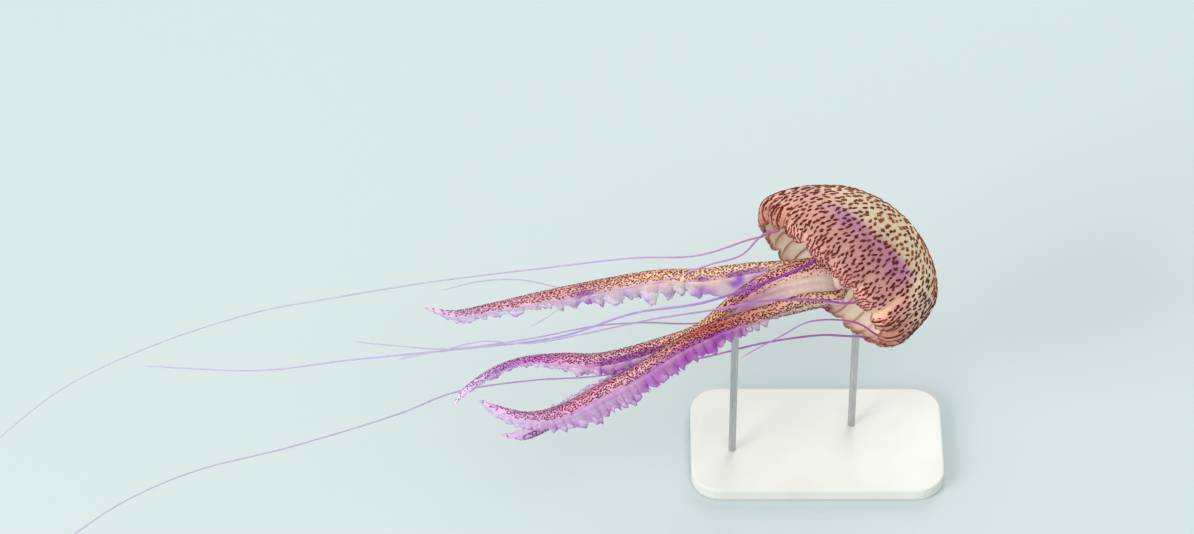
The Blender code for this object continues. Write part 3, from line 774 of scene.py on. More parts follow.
def add_manubrium(pieces, patch):
    """A four-lobed stalk from the bell's ceiling, ending between the oral arms."""
    top = to_plane((crown_lean(STALK_TOP), 0.0, STALK_TOP))
    top_axis = -to_plane((0.0, 0.0, 1.0))
    beyond = STALK_END + STALK_END_AXIS * STALK_BEYOND
    rows, run = even_curve([tuple(top), *STALK_POINTS, tuple(STALK_END), tuple(beyond)], STALK_STEP)
    share = run / run[-1]
    axis = unit(blend(top_axis, np.array(STALK_END_AXIS), smooth(share * 1.2)))
    radii = np.interp(share, STALK_MARKS, STALK_SKIN)
    side = square_to(np.array((0.0, 0.0, 1.0)), axis)
    angle = circle(STALK_AROUND)
    lobes = np.cos(4 * (angle - pi / 4))
    reach = (radii[:, None] - COAT) * (1.0 + STALK_LOBE * lobes)
    grid = rings(rows[:, :3], side, np.cross(side, axis), reach * np.cos(angle), reach * np.sin(angle))
    cloud = smooth(0.5 + 0.5 * waves(grid, size=0.009, seed=31))
    colour = layered(MILK, (PINK, 0.4 * cloud), (SALMON, 0.4 * smooth(lobes - 0.1)))
    add_tube(pieces, grid, with_alpha(colour), [grid[0].mean(0), grid[-1].mean(0)], patch)


# ---- oral arms ----

class Arm:
    """The stations of one oral arm: places, directions, depth and distance from its base."""

    def __init__(self, points, step):
        base = np.array(points[0])
        base[:3] += STALK_REACH * (np.array(STALK_POINTS[1]) - base[:3])
        rows, self.run = even_curve([tuple(base), *points], step)
        self.here = rows[:, :3]
        facing = np.radians(rows[:, 3])
        self.depth = rows[:, 4]
        self.along = heading(self.here)
        crest = np.stack([np.zeros_like(facing), np.sin(facing), np.cos(facing)], axis=-1)
        self.crest = square_to(crest, self.along)
        self.across = np.cross(self.along, self.crest)
        self.rib = np.minimum(RIB_DEPTH, RIB_SHARE * self.depth)
        self.half = np.minimum(RIB_WIDTH, 0.3 * self.depth + 0.0002)
        self.share = self.run / self.run[-1]

    def place(self, across, down, forward=0.0):
        """Points at distances across the arm, down from its crest and along it."""
        ahead = self.along[:, None] * np.asarray(forward)[..., None]
        return rings(self.here, self.across, self.crest, across, -down) + ahead


def crest_fall(angle):
    """How far down a rib's section an angle lies: 0 on its crest, 1 at its underside."""
    return 0.5 * (1.0 - np.cos(angle))


def rib_outline(arm, angle):
    """A rounded section with steep flanks: angle 0 on the crest, a half turn at the underside."""
    lean = np.sin(angle)
    across = (arm.half[:, None] - COAT) * np.sign(lean) * np.abs(lean) ** FLANK_POWER
    return across, COAT + RIB_FALL * arm.rib[:, None] * crest_fall(angle)


ARM_MARKS = (0.10, 0.38, 0.58, 0.76, 0.92)    # the shares of an arm's length that its colours are given for

# Each arm's flank, wart and lip colours at those marks, and its violet.  root: how far the flanks'
# colour covers the lips' roots.  patches: the violet patches, each with its distance from the arm's base,
# half length, share of the lips' depth, strength, and how much of it also shows on the rib's crest.
# plain: the lips are plain up to this distance.  gain: their reach against the solids' depth.
# lobe: a lobe's length.  cut: the share of their depth cut away between lobes.  tooth: the teeth's depth.
ARM_LOOKS = (
    {"flank": tints((255, 232, 200), (255, 212, 172), (236, 184, 172), (224, 176, 184), (206, 170, 204)),
     "spot": tints((156, 92, 44), (132, 58, 24), (120, 36, 40), (130, 48, 70), (132, 60, 96)),
     "lip": tints((238, 214, 204), (226, 204, 212), (222, 196, 214), (214, 190, 216), (208, 190, 220)),
     "violet": linear(140, 74, 198), "root": 0.80,
     "patches": ((0.034, 0.007, 0.50, 0.80, 0.0), (0.043, 0.0045, 0.25, 0.95, 0.0),
                 (0.056, 0.004, 0.85, 0.8, 0.0), (0.104, 0.005, 0.85, 0.9, 0.0)),
     "plain": 0.048, "gain": 1.18, "lobe": 0.0056, "cut": 0.48, "tooth": 0.0015},
    {"flank": tints((238, 174, 160), (248, 200, 152), (240, 192, 190), (206, 130, 196), (214, 194, 226)),
     "spot": tints((96, 12, 30), (110, 30, 20), (96, 18, 44), (120, 20, 110), (136, 60, 140)),
     "lip": tints((236, 206, 200), (228, 204, 200), (222, 184, 210), (214, 180, 220), (220, 200, 232)),
     "violet": linear(136, 40, 170), "root": 0.70,
     "patches": ((0.043, 0.008, 0.5, 0.95, 0.75), (0.094, 0.014, 0.90, 2.1, 0.12),
                 (0.146, 0.012, 0.8, 0.7, 0.3)),
     "plain": 0.040, "gain": 1.0, "lobe": 0.0056, "cut": 0.40, "tooth": 0.0017},
    {"flank": tints((246, 208, 184), (206, 96, 84), (228, 176, 180), (222, 150, 184), (206, 166, 206)),
     "spot": tints((116, 46, 22), (70, 2, 0), (92, 8, 40), (104, 10, 60), (120, 40, 110)),
     "lip": tints((230, 196, 204), (200, 128, 178), (196, 146, 198), (196, 160, 208), (206, 182, 220)),
     "violet": linear(156, 58, 178), "root": 0.15,
     "patches": ((0.056, 0.010, 0.5, 0.85, 0.0), (0.074, 0.012, 0.8, 0.75, 0.0),
                 (0.091, 0.008, 0.6, 0.5, 0.0)),
     "plain": 0.026, "gain": 1.22, "lobe": 0.0038, "cut": 0.18, "tooth": 0.0027},
    {"flank": tints((248, 206, 180), (236, 184, 172), (226, 168, 190), (214, 150, 190), (198, 156, 206)),
     "spot": tints((124, 56, 32), (104, 28, 24), (100, 20, 60), (106, 24, 80), (120, 50, 120)),
     "lip": tints((228, 200, 200), (214, 176, 202), (212, 168, 202), (214, 176, 210), (218, 192, 222)),
     "violet": linear(158, 82, 184), "root": 0.40,
     "patches": ((0.066, 0.012, 0.6, 0.6, 0.0), (0.096, 0.010, 0.7, 0.6, 0.0),
                 (0.046, 0.010, 0.6, 0.3, 0.0)),
     "plain": 0.026, "gain": 1.05, "lobe": 0.0046, "cut": 0.28, "tooth": 0.0022},
)


def arm_colour(arm, looks, part):
    """One of an arm's colours at each of its stations."""
    return read_table(arm.share, ARM_MARKS, looks[part])[:, None]


def rib_violet(arm, looks, fall):
    """How violet a rib is, from 0 to 1, along its length and down its section."""
    violet = 0.0
    for middle, half_length, _, strength, crest in looks["patches"]:
        place = hump(arm.run, middle, half_length)[:, None]
        violet = violet + strength * place * (crest + (1.0 - crest) * ramp(fall, 0.18, 0.4))
    return np.clip(0.9 * violet, 0.0, 0.8)


def add_rib(pieces, arm, looks, patch):
    """The stout rib of an arm: dusky along its crest, coloured like the lips underneath."""
    angle = circle(RIB_AROUND)
    grid = arm.place(*rib_outline(arm, angle))
    fall = crest_fall(angle)
    dusk = 0.12 + 0.26 * ramp(arm.share, 0.15, 0.25)[:, None]
    colour = layered(arm_colour(arm, looks, "flank"),
                     (arm_colour(arm, looks, "spot"), dusk * smooth(1.0 - fall / 0.16)),
                     (arm_colour(arm, looks, "lip"), 0.8 * ramp(fall, 0.54, 0.25)),
                     (looks["violet"], rib_violet(arm, looks, fall)))
    colour = colour * (1.0 + 0.06 * waves(grid, size=0.006, seed=41))[..., None]
    poles = [arm.here[end] - arm.crest[end] * arm.rib[end] * 0.5 for end in (0, -1)]
    add_tube(pieces, grid[:, ::-1], with_alpha(colour[:, ::-1]), poles, patch)


# ---- tentacles ----

HUE_MARKS = (0.0, 0.030, 0.060, 0.130)        # distances from the root that a tentacle's colours are for
TENTACLE_HUES = (
    tints((154, 90, 154), (158, 122, 174), (158, 142, 188), (150, 154, 184)),
    tints((150, 80, 152), (150, 106, 170), (156, 136, 184), (150, 152, 182)),
    tints((112, 14, 108), (112, 34, 150), (152, 122, 188), (148, 148, 184)),
    tints((130, 60, 142), (132, 76, 160), (148, 116, 180), (148, 144, 182)),
    tints((136, 60, 136), (138, 80, 152), (148, 114, 170), (148, 134, 172)),
    tints((140, 72, 138), (142, 88, 158), (148, 118, 172), (142, 140, 174)),
    tints((136, 64, 136), (140, 84, 160), (146, 112, 174), (142, 138, 176)),
    tints((138, 68, 140), (144, 96, 166), (148, 124, 176), (144, 144, 180)),
)


def tentacle_points(row):
    """From inside the bell's wall, past the rim, and along the tentacle's route."""
    degrees, root_size, _, route = row
    angle = np.array(radians(-degrees))
    inward = np.array((cos(angle), sin(angle), 0.0)) * (root_size / 2 + ROOT_CLEAR)
    root = bell_surface(np.array(1.0), angle, True) - inward - np.array((0.0, 0.0, ROOT_DROP))
    high = np.array(ROOT_SHARE)
    wall = (bell_surface(high, angle, False) + bell_surface(high, angle, True)) / 2
    return [tuple(to_plane(wall)), tuple(to_plane(root)), *route]


def add_tentacle(pieces, row, hues, patch):
    """A thin thread, thicker at its root and slightly beaded."""
    rows, run = even_curve(tentacle_points(row), TUBE_STEP)
    here = rows[:, :3]
    along = heading(here)
    side = unit(np.cross(along, np.array((0.0, 0.3, 1.0))))
    start = min(row[1], STOUTEST)
    radius = SLIM * (start + (row[2] - start) * (run / run[-1]) ** 0.6) / 2
    radius = radius * (1.0 + ROOT_SWELL * np.exp(-run / ROOT_SWELL_RUN) + BEADS * np.sin(run / BEAD_RUN))
    radius[-1] *= TIP_SHARE
    x = radius[:, None] * np.cos(circle(TUBE_AROUND))
    y = radius[:, None] * np.sin(circle(TUBE_AROUND))
    grid = rings(here, side, np.cross(side, along), x, y)
    colour = read_table(run, HUE_MARKS, hues)[:, None] * np.ones_like(grid)
    add_tube(pieces, grid, with_alpha(colour), [here[0], here[-1]], patch)


def make_skin(material):
    """One joined skin: bell, manubrium, ribs of the arms and tentacles."""
    pieces = Pieces()
    add_bell(pieces, (MARGIN, MARGIN, 1.0 - MARGIN, 0.56))
    add_manubrium(pieces, (0.78, 0.57, 1.0 - MARGIN, 0.84))
    for number, (points, looks) in enumerate(zip(ORAL_ARMS, ARM_LOOKS)):
        low = 0.57 + 0.07 * number
        add_rib(pieces, Arm(points, ARM_STEP), looks, (MARGIN, low, 0.77, low + 0.062))
    for number, (row, hues) in enumerate(zip(TENTACLES, TENTACLE_HUES)):
        low = 0.86 + 0.017 * number
        add_tentacle(pieces, row, hues, (MARGIN, low, 1.0 - MARGIN, low + 0.013))
    return pieces.make("jelly_skin", material)


# ---- frilled lips ----

def hem_lobes(run, gap, rng):
    """Uneven lobes along a hem: how far each place stands out, and its turn through the folds."""
    edges = [-gap * rng.uniform(0.2, 1.0)]
    while edges[-1] <= run[-1]:
        edges.append(edges[-1] + gap * rng.uniform(*LOBE_LENGTHS))
    number = np.searchsorted(edges, run, side="right") - 1
    edges = np.array(edges)
    part = (run - edges[number]) / (edges[number + 1] - edges[number])
    peak = rng.uniform(*LOBE_PEAKS, len(edges))[number]
    tent = np.where(part < peak, part / peak, (1.0 - part) / (1.0 - peak))
    return tent ** 1.5 * rng.uniform(*LOBE_RISES, len(edges))[number], 2 * pi * (number + part)


def zigzag(turn):
    """A triangular wave, a little rounded."""
    return 0.75 * np.arcsin(np.sin(turn)) * 2 / pi + 0.25 * np.sin(turn)


def add_lip(pieces, number, arm, looks, side):
    """One thin lip under a rib, folded and lobed towards its hem, as a closed sheet."""
    rng = np.random.RandomState(100 + 10 * number + side)
    run = arm.run
    loose = ramp(run, looks["plain"], LOOSENS)
    lobes, turn = hem_lobes(run, looks["lobe"], rng)
    teeth, tooth_turn = hem_lobes(run, TOOTH_LENGTH, rng)
    root = LIP_ROOT * RIB_FALL * arm.rib
    length = np.maximum(looks["gain"] * arm.depth - root, 0.0002)
    full = np.minimum(1.0, length / FULL_LIP)
    cut = looks["cut"] * loose * (1.0 - lobes)
    sway = 1.0 - SWAY_DEPTH * loose * (0.5 + 0.5 * np.sin(run / LIP_SWAY + 2.0 * number + side))
    reach = length * sway * (1.0 - cut) + looks["tooth"] * (teeth - 0.6) * loose * full
    v = (np.arange(LIP_ROWS) / (LIP_ROWS - 1)) ** 0.85
    calm = 1.0 if side < 0 else FAR_LIP
    swing = calm * (loose * full * (0.5 + 0.7 * lobes))[:, None] * RUFFLE_SWING
    wave = zigzag(turn)[:, None] * v ** 1.4 + 0.22 * np.sin(tooth_turn)[:, None] * v ** 4
    across = side * (LIP_APART * arm.half - COAT)[:, None] * (1.0 - LIP_CLOSE * v) + swing * wave
    down = root[:, None] + np.maximum(reach, 0.0001)[:, None] * v
    forward = (loose * full)[:, None] * RUFFLE_CURL * np.cos(turn)[:, None] * v ** 1.6
    sheet = arm.place(across, down, forward)
    paint = lip_paint(sheet, number, arm, looks, v, turn, loose[:, None])
    thick = (LIP_THICK + (HEM_THICK - LIP_THICK) * v)[None, :, None]
    add_sheet(pieces, sheet, thick, paint, 4 * number + (0 if side < 0 else 2))


def lip_paint(sheet, number, arm, looks, v, turn, loose):
    """Pale by the rib, lilac below, with violet patches, folds, tips and hem; v runs from root to hem."""
    violet = 0.0
    for middle, half_length, deep, strength, _ in looks["patches"]:
        violet = violet + strength * hump(arm.run, middle, half_length)[:, None] * hump(v, deep, 0.45)
    violet = np.clip(violet * (0.66 + 0.75 * waves(sheet, size=0.006, seed=51 + number)), 0.0, 0.9)
    fold = np.abs(np.sin(turn))[:, None] ** 6 * v ** 1.2 * loose
    hem = ramp(v, 0.88, 0.12)
    tips = ramp(v, 0.45, 0.45) * smooth(0.2 + 1.3 * waves(sheet, size=0.0035, seed=91 + number)) * loose
    colour = layered(arm_colour(arm, looks, "lip"),
                     (arm_colour(arm, looks, "flank"), looks["root"] * smooth(1.0 - v / 0.52)),
                     (looks["violet"], violet), (looks["violet"], 0.30 * fold),
                     (looks["violet"], np.clip(0.45 * hem + 0.50 * tips, 0.0, 0.85)))
    clear = 1.0 - 0.66 * smooth(v / 0.55) * (1.0 - 0.85 * violet) + 0.50 * hem + 0.25 * tips
    return with_alpha(colour, np.clip(clear, 0.0, 1.0))


WEBS = (
    # two neighbouring arms, how far the web between them reaches, how far it sags inwards,
    # and the share of its breadth, from the first arm, that is dotted like a rib
    (0, 1, 0.026, 0.0010, 0.0),
    (1, 2, 0.060, 0.0012, 0.36),
    (2, 3, 0.046, -0.0006, 2.0),
    (3, 0, 0.024, 0.0020, 0.0),
)
LIP_STRIPS = 4 * len(ORAL_ARMS)  # the bake map's strips: one for each face of an arm's two lips
STRIPS = LIP_STRIPS + 2 * len(WEBS)


def rib_flank(arm, toward, length):
    """The line low on a rib's flank that faces another arm, up to a distance from its base."""
    side = np.sign(((toward - arm.here.mean(0)) * arm.across).sum(-1).mean())
    line = (arm.here + arm.across * (side * (WEB_APART * arm.half - COAT))[:, None]
            - arm.crest * (WEB_FALL * RIB_FALL * arm.rib)[:, None])
    return read_table(np.linspace(0.0, length, WEB_ROWS), arm.run, line)


def web_sheet(arms, web):
    """The middle surface of a web, in rows along the arms, and the middle of all the arms' bases."""
    one, two = (arms[number] for number in web[:2])
    length, sag = web[2:4]
    count = np.searchsorted(one.run, length)
    near = rib_flank(one, two.here[:count].mean(0), length)
    far = rib_flank(two, one.here[:count].mean(0), length)
    middle = np.mean([arm.here[:count].mean(0) for arm in arms], axis=0)
    u = np.linspace(0.0, 1.0, WEB_COLUMNS)
    bow = np.sin(pi * u)
    row = np.arange(WEB_ROWS)[:, None] * (1.0 - 0.18 * bow)
    low = np.minimum(row.astype(int), WEB_ROWS - 2)
    part = (row - low)[..., None]
    start, end = (line[low] * (1 - part) + line[low + 1] * part for line in (near, far))
    sheet = start * (1 - u)[:, None] + end * u[:, None]
    inward = unit(middle - sheet)
    inward[..., 0] = 0.0
    return sheet + inward * (sag * bow)[:, None], middle


def add_web(pieces, arms, web, strip):
    """A pale membrane between the bases of two arms' ribs, with a hollow hem."""
    sheet = web_sheet(arms, web)[0]
    share, u = np.meshgrid(np.linspace(0.0, 1.0, WEB_ROWS), np.linspace(0.0, 1.0, WEB_COLUMNS),
                           indexing="ij")
    streak = 0.5 + 0.5 * np.sin(2 * pi * (3.2 * u + 0.8 * share) + 2.0 * waves(sheet, size=0.012, seed=71))
    violet = ramp(share, 0.42, 0.5) * (0.62 + 0.3 * waves(sheet, size=0.009, seed=72))
    rib = smooth((web[-1] - u) / 0.4)
    colour = layered(MILK, (PINK, 0.55 * streak * (0.4 + 0.6 * share)),
                     (WEB_TIP, np.clip(violet, 0.0, 0.8)), (ARM_LOOKS[web[0]]["flank"][0], 0.9 * rib))
    clear = np.maximum(0.96 - 0.34 * ramp(share, 0.35, 0.6), 0.97 * rib)
    add_sheet(pieces, sheet, LIP_THICK, with_alpha(colour, clear), strip)


def make_lips(material):
    """The lips of all four arms, and the webs between the arms' bases."""
    pieces = Pieces()
    arms = [Arm(points, LIP_STEP) for points in ORAL_ARMS]
    for number, (arm, looks) in enumerate(zip(arms, ARM_LOOKS)):
        for side in (-1, 1):
            add_lip(pieces, number, arm, looks, side)
    for number, web in enumerate(WEBS):
        add_web(pieces, arms, web, LIP_STRIPS + 2 * number)
    return pieces.make("oral_arm_lips", material)


# ---- warts ----

def add_warts(pieces, spots, normals, headings, lengths, widths, heights, colours, places, sides):
    """Low domes: a wobbly oval foot, a smaller ring above it, and a top point."""
    rng = np.random.RandomState(7 + len(spots))
    count = len(spots)
    headings = square_to(headings, normals)
    beside = np.cross(normals, headings)
    angle = circle(sides)
    wobble = 1.0 + rng.uniform(-0.22, 0.22, (count, sides))
    x = np.cos(angle) * lengths[:, None] / 2 * wobble
    y = np.sin(angle) * widths[:, None] / 2 * wobble
    lift = normals[:, None] * heights[:, None, None]
    foot = rings(spots, headings, beside, x, y) - WART_SINK * lift
    shoulder = rings(spots, headings, beside, WART_SHOULDER * x, WART_SHOULDER * y) + WART_SHOULDER * lift
    domes = np.concatenate([foot, shoulder, spots[:, None] + lift], axis=1)
    size = 2 * sides + 1
    start = size * np.arange(count)[:, None, None]
    ring = np.arange(sides)
    after = (ring + 1) % sides
    quads = np.stack([ring, after, sides + after, sides + ring], axis=-1)
    fans = np.stack([sides + ring, sides + after, np.full(sides, 2 * sides)], axis=-1)
    patch = PATCH * np.stack([np.cos(angle), np.sin(angle)], axis=-1)
    local = np.concatenate([patch, 0.7 * patch, np.zeros((1, 2))])
    corners = [(places[:, None] + local[faces.ravel()]).reshape(-1, 2) for faces in (quads, fans)]
    paint = np.repeat(with_alpha(colours)[:, None], size, axis=1)
    pieces.add(domes, paint, (start + quads).reshape(-1, 4), (start + fans).reshape(-1, 3),
               np.concatenate(corners))


def jitter(rng, count):
    """Small random shifts either way, as shares of the gap between warts."""
    return rng.uniform(-WART_JITTER, WART_JITTER, count)


def bell_wart_rows():
    """Rings of warts down the bell: their shares, angles and local gap."""
    rng = np.random.RandomState(5)
    rows = []
    share = BELL_WARTS_FROM
    while share < BELL_WARTS_TO:
        gap = np.interp(share, BELL_WART_MARKS, BELL_WART_GAPS)
        count = max(3, round(2 * pi * BELL_RADIUS * sin(dome_arc(share)) / gap))
        around = (np.arange(count) + jitter(rng, count) + rng.uniform(0, 1)) / count * 2 * pi
        shift = gap / (DOME_SLOPE if share < EQUATOR_SHARE else LIP_SLOPE)
        strays = rng.uniform(-RING_STRAY, RING_STRAY, count)
        rows.append((share + strays * shift, around, np.full(count, gap)))
        share += BELL_ROW_GAP * shift
    return [np.concatenate(values) for values in zip(*rows)]


def bell_wart_spots(rng):
    """Each wart's share, angle, gap, length, width and turn; a cross is two warts."""
    share, angle, gap = bell_wart_rows()
    share = np.clip(share, 0.004, 0.992)
    bare = 1.1 * bare_stripe(share, angle) + 0.80 * bell_ends(angle) * ramp(share, 0.74, 0.12)
    keep = rng.uniform(size=len(share)) > bare
    share, angle, gap = share[keep], angle[keep], gap[keep]
    count = len(share)
    length = gap * rng.uniform(0.80, 1.22, count)
    width = gap * rng.uniform(0.36, 0.54, count)
    turn = radians(18) * rng.normal(size=count)
    spots = np.stack([share, angle, gap, length, width, turn])
    crossed = rng.uniform(size=count) < 0.35 * ramp(share, 0.50, -0.25) + 0.22
    shrink = np.array((1.0, 1.0, 1.0, 0.8, 0.9, 1.0))
    second = spots[:, crossed] * shrink[:, None]
    count = second.shape[1]
    second[-1] += rng.choice((-1, 1), count) * rng.uniform(0.9, 1.6, count)
    return np.concatenate([spots, second], axis=1)


def make_bell_warts(material):
    """Dashes and little crosses, large and far apart on the crown, small and close at the rim."""
    rng = np.random.RandomState(9)
    share, angle, gap, length, width, turn = bell_wart_spots(rng)
    points, normals = bell_outside(share, angle)
    _, down, side = bell_directions(share, angle)
    headings = down * np.cos(turn)[:, None] + side * np.sin(turn)[:, None]
    cloud = 0.55 + 0.45 * waves(points, size=0.010, seed=61)
    tone = ramp(points[:, 2], 0.020, 0.010) * cloud + 0.12 * rng.normal(size=len(share))
    colours = layered(WART_DARK, (WART_RUST, np.clip(tone, 0.0, 1.0)),
                      (WART_RIM, 0.8 * ramp(share, 0.76, 0.14)))
    places = inset(np.stack([(angle / (2 * pi)) % 1.0, share], axis=-1))
    pieces = Pieces()
    add_warts(pieces, to_plane(points), to_plane(normals), to_plane(headings), length, width,
              BELL_WART_GAIN * gap + BELL_WART_RISE, colours, places, 8)
    add_furrow_lines(pieces)
    return pieces.make("bell_warts", material)


def add_furrow_lines(pieces):
    """A thin dark line, half sunk in the skin, in each furrow at the bell's two ends: painted shade along
    the folded lappets' edges.
    """
    share = np.linspace(LINE_TOP, LINE_END, LINE_ROWS)
    part = np.linspace(0.0, 1.0, LINE_ROWS)
    around = circle(6)
    for number in range(LAPPETS * FURROWS):
        middle = FIRST_ROOT + FURROW_STEP * number
        strength = bell_ends(middle)
        if strength < 0.1:
            continue
        points, normals = bell_outside(share, middle - furrow_sway(share, middle))
        points = points + LINE_RAISE * normals
        late = 0.5 * (1.0 - strength) + 0.12 * (1.0 + sin(5.0 * number))
        radius = LINE_RADIUS * ramp(part, late, 0.35) * ramp(part, 1.06, -0.15) + LINE_LEAST
        radius = (radius * (0.8 + 0.2 * np.sin(17.0 * part + number)))[:, None]
        wide = 1.2 + 1.3 * sector(azimuth_of(middle), 15, 34)
        grid = rings(points, np.cross(normals, heading(points)), normals,
                     wide * radius * np.cos(around), -0.6 * radius * np.sin(around))
        place = inset((middle / (2 * pi)) % 1.0)
        patch = (place - PATCH, inset(LINE_TOP), place + PATCH, inset(LINE_END))
        add_tube(pieces, to_plane(grid), with_alpha(FURROW_SHADE_BROWN * np.ones_like(grid)),
                 to_plane([points[0], points[-1]]), patch)


def wart_gap(share):
    """The arms' warts stand closer together towards the tip."""
    return ARM_WART_GAP * np.interp(share, (0.2, 0.9), (1.0, 0.80))


def grid_spots(row, column, grid, normals, along):
    """Places between a grid's points, with the surface's normals and headings there."""
    return (read_grid(grid, row, column), unit(read_grid(normals, row, column)),
            unit(read_grid(along, row, column)))


def rib_spots(arm, rng):
    """Jittered places on a rib's crest and flanks, thinning out towards the lips and the tip."""
    outline = np.linspace(-RIB_WARTS_TURN, RIB_WARTS_TURN, RIB_COLUMNS + 1)
    grid = arm.place(*rib_outline(arm, outline))
    lengths = np.linalg.norm(np.diff(grid, axis=1), axis=-1).sum(1)
    stations = np.arange(len(arm.run))
    spots = []
    run = RIB_WARTS_FROM
    while run < arm.run[-1] - RIB_WARTS_SHORT:
        gap = wart_gap(run / arm.run[-1])
        count = max(2, int(np.interp(run, arm.run, lengths) / gap))
        columns = (np.arange(count) + rng.uniform(0, 1) + jitter(rng, count)) / count
        rows = np.interp(run, arm.run, stations) + jitter(rng, count) * gap / ARM_STEP
        spots.append(np.stack([rows, (columns % 1.0) * RIB_COLUMNS]))
        run += ROW_GAP * gap
    row, column = np.concatenate(spots, axis=1)
    fall = crest_fall(outline[0] + (outline[-1] - outline[0]) * column / RIB_COLUMNS)
    bare = ramp(fall, 0.52, 0.28) + ramp(row / len(stations), 0.88, 0.12)
    keep = rng.uniform(size=len(row)) > bare
    row = np.clip(row[keep], 0, len(stations) - 1.001)
    column = np.clip(column[keep], 0, RIB_COLUMNS - 0.001)
    along = np.repeat(arm.along[:, None], RIB_COLUMNS + 1, axis=1)
    return (*grid_spots(row, column, grid, -grid_normals(grid), along),
            np.interp(row, stations, arm.share), fall[keep])


def web_spots(arms, web, rng):
    """Jittered places on the dotted part of a web, on the side away from the arms' middle."""
    sheet, middle = web_sheet(arms, web)
    normals = grid_normals(sheet)
    normals = normals * np.sign(((sheet - middle) * normals).sum(-1, keepdims=True))
    breadth = np.linalg.norm(np.diff(sheet, axis=1), axis=-1).sum(1).mean()
    count = int(web[2] * breadth / (ROW_GAP * ARM_WART_GAP ** 2))
    row = rng.uniform(0.0, WEB_ROWS - 1.001, count)
    column = rng.uniform(0.0, WEB_COLUMNS - 1.001, count)
    keep = rng.uniform(size=count) < smooth((web[-1] - column / (WEB_COLUMNS - 1)) / 0.35)
    row = row[keep]
    return (*grid_spots(row, column[keep], sheet, normals, heading(sheet)),
            0.5 * row / WEB_ROWS, np.full(len(row), 0.5))


def add_arm_warts(pieces, spots, looks, row, rng):
    """Fine dashes in an arm's own colours; row is their place in the bake map."""
    places, normals, along, shares, falls = spots
    count = len(places)
    gap = wart_gap(shares)
    length = rng.uniform(0.85, 1.35, count) * gap
    width = rng.uniform(0.44, 0.64, count) * gap
    turn = (rng.choice((-1, 1), count) * rng.uniform(0.3, 1.0, count))[:, None]
    headings = along * np.cos(turn) + np.cross(normals, along) * np.sin(turn)
    spot = read_table(shares, ARM_MARKS, looks["spot"])
    colour = blend(spot, WART_DARK, 0.45 * smooth(1.0 - falls / 0.20))
    colour = np.clip(colour * (1.0 + 0.18 * rng.normal(size=count))[:, None], 0.0, 1.0)
    patches = np.stack([inset(shares), row + 0.1 * falls], axis=-1)
    add_warts(pieces, places, normals, headings, length, width, np.full(count, ARM_WART_RISE), colour,
              patches, 6)


def make_arm_warts(material):
    """Dashes close together over the crest and flanks of each rib, and on the webs beside them."""
    pieces = Pieces()
    rng = np.random.RandomState(200)
    arms = [Arm(points, ARM_STEP) for points in ORAL_ARMS]
    for number, (arm, looks) in enumerate(zip(arms, ARM_LOOKS)):
        add_arm_warts(pieces, rib_spots(arm, rng), looks, 0.02 + 0.12 * number, rng)
    for number, web in enumerate(WEBS):
        if web[-1] > 0.0:
            add_arm_warts(pieces, web_spots(arms, web, rng), ARM_LOOKS[web[0]], 0.50 + 0.12 * number, rng)
    return pieces.make("arm_warts", material)


# ---- materials ----

NOISE_LOW = 0.3                  # a noise's values mostly lie between these
NOISE_HIGH = 0.7


class Finish:
    """A material in the making: its shader, and short ways to add the nodes used here."""

    def __init__(self, name):
        self.material = bpy.data.materials.new(name)
        self.material.use_nodes = True
        self.tree = self.material.node_tree
        self.shader = self.tree.nodes["Principled BSDF"]

    def put(self, node, **inputs):
        """Gives a node's inputs their values, or joins them to other nodes' sockets."""
        for name, value in inputs.items():
            place = node.inputs[name.replace("_", " ")]
            if isinstance(value, bpy.types.NodeSocket):
                self.tree.links.new(value, place)
            else:
                place.default_value = value

    def add(self, kind, result, **inputs):
        """A new node's result."""
        node = self.tree.nodes.new("ShaderNode" + kind)
        self.put(node, **inputs)
        return node.outputs[result]

    def places(self):
        return self.add("TexCoord", "Object")

    def noise(self, places, scale, detail=3.0):
        return self.add("TexNoise", "Fac", Vector=places, Scale=scale, Detail=detail)

    def spread(self, value, low, high):
        """Turns a noise into values from low to high."""
        return self.add("MapRange", "Result", Value=value, From_Min=NOISE_LOW, From_Max=NOISE_HIGH,
                        To_Min=low, To_Max=high)

    def grain(self, value, low, high, depth, strength):
        """Roughness between two values, and fine bumps, from the same noise."""
        normal = self.add("Bump", "Normal", Height=value, Distance=depth, Strength=strength)
        self.put(self.shader, Roughness=self.spread(value, low, high), Normal=normal)

    def two_tones(self, value, first, second):
        """A base colour that runs from one tint to another with a noise."""
        ramp_node = self.tree.nodes.new("ShaderNodeValToRGB")
        low, high = ramp_node.color_ramp.elements
        for element, place, tint in ((low, NOISE_LOW, first), (high, NOISE_HIGH, second)):
            element.position = place
            element.color = (*linear(*tint), 1.0)
        self.put(ramp_node, Fac=value)
        self.put(self.shader, Base_Color=ramp_node.outputs["Color"])

    def mottled_paint(self, places, scale, amount):
        """The painted colour as base colour, mottled lighter and darker; gives back the paint's alpha."""
        paint = self.tree.nodes.new("ShaderNodeVertexColor")
        paint.layer_name = "paint"
        gain = self.spread(self.noise(places, scale, 4.0), 1.0 - amount, 1.0 + amount)
        mix = self.tree.nodes.new("ShaderNodeVectorMath")
        mix.operation = "SCALE"
        self.put(mix, Vector=paint.outputs["Color"], Scale=gain)
        self.put(self.shader, Base_Color=mix.outputs["Vector"])
        return paint.outputs["Alpha"]


def jelly_material():
    """Moist, slightly translucent jelly."""
    jelly = Finish("jelly")
    places = jelly.places()
    jelly.mottled_paint(places, 420.0, 0.07)
    jelly.grain(jelly.noise(places, 900.0), 0.34, 0.50, 0.00012, 0.5)
    jelly.put(jelly.shader, Subsurface_Weight=0.85, Subsurface_Radius=(1.0, 0.75, 0.6),
              Subsurface_Scale=0.0030, Specular_IOR_Level=0.35)
    return jelly.material


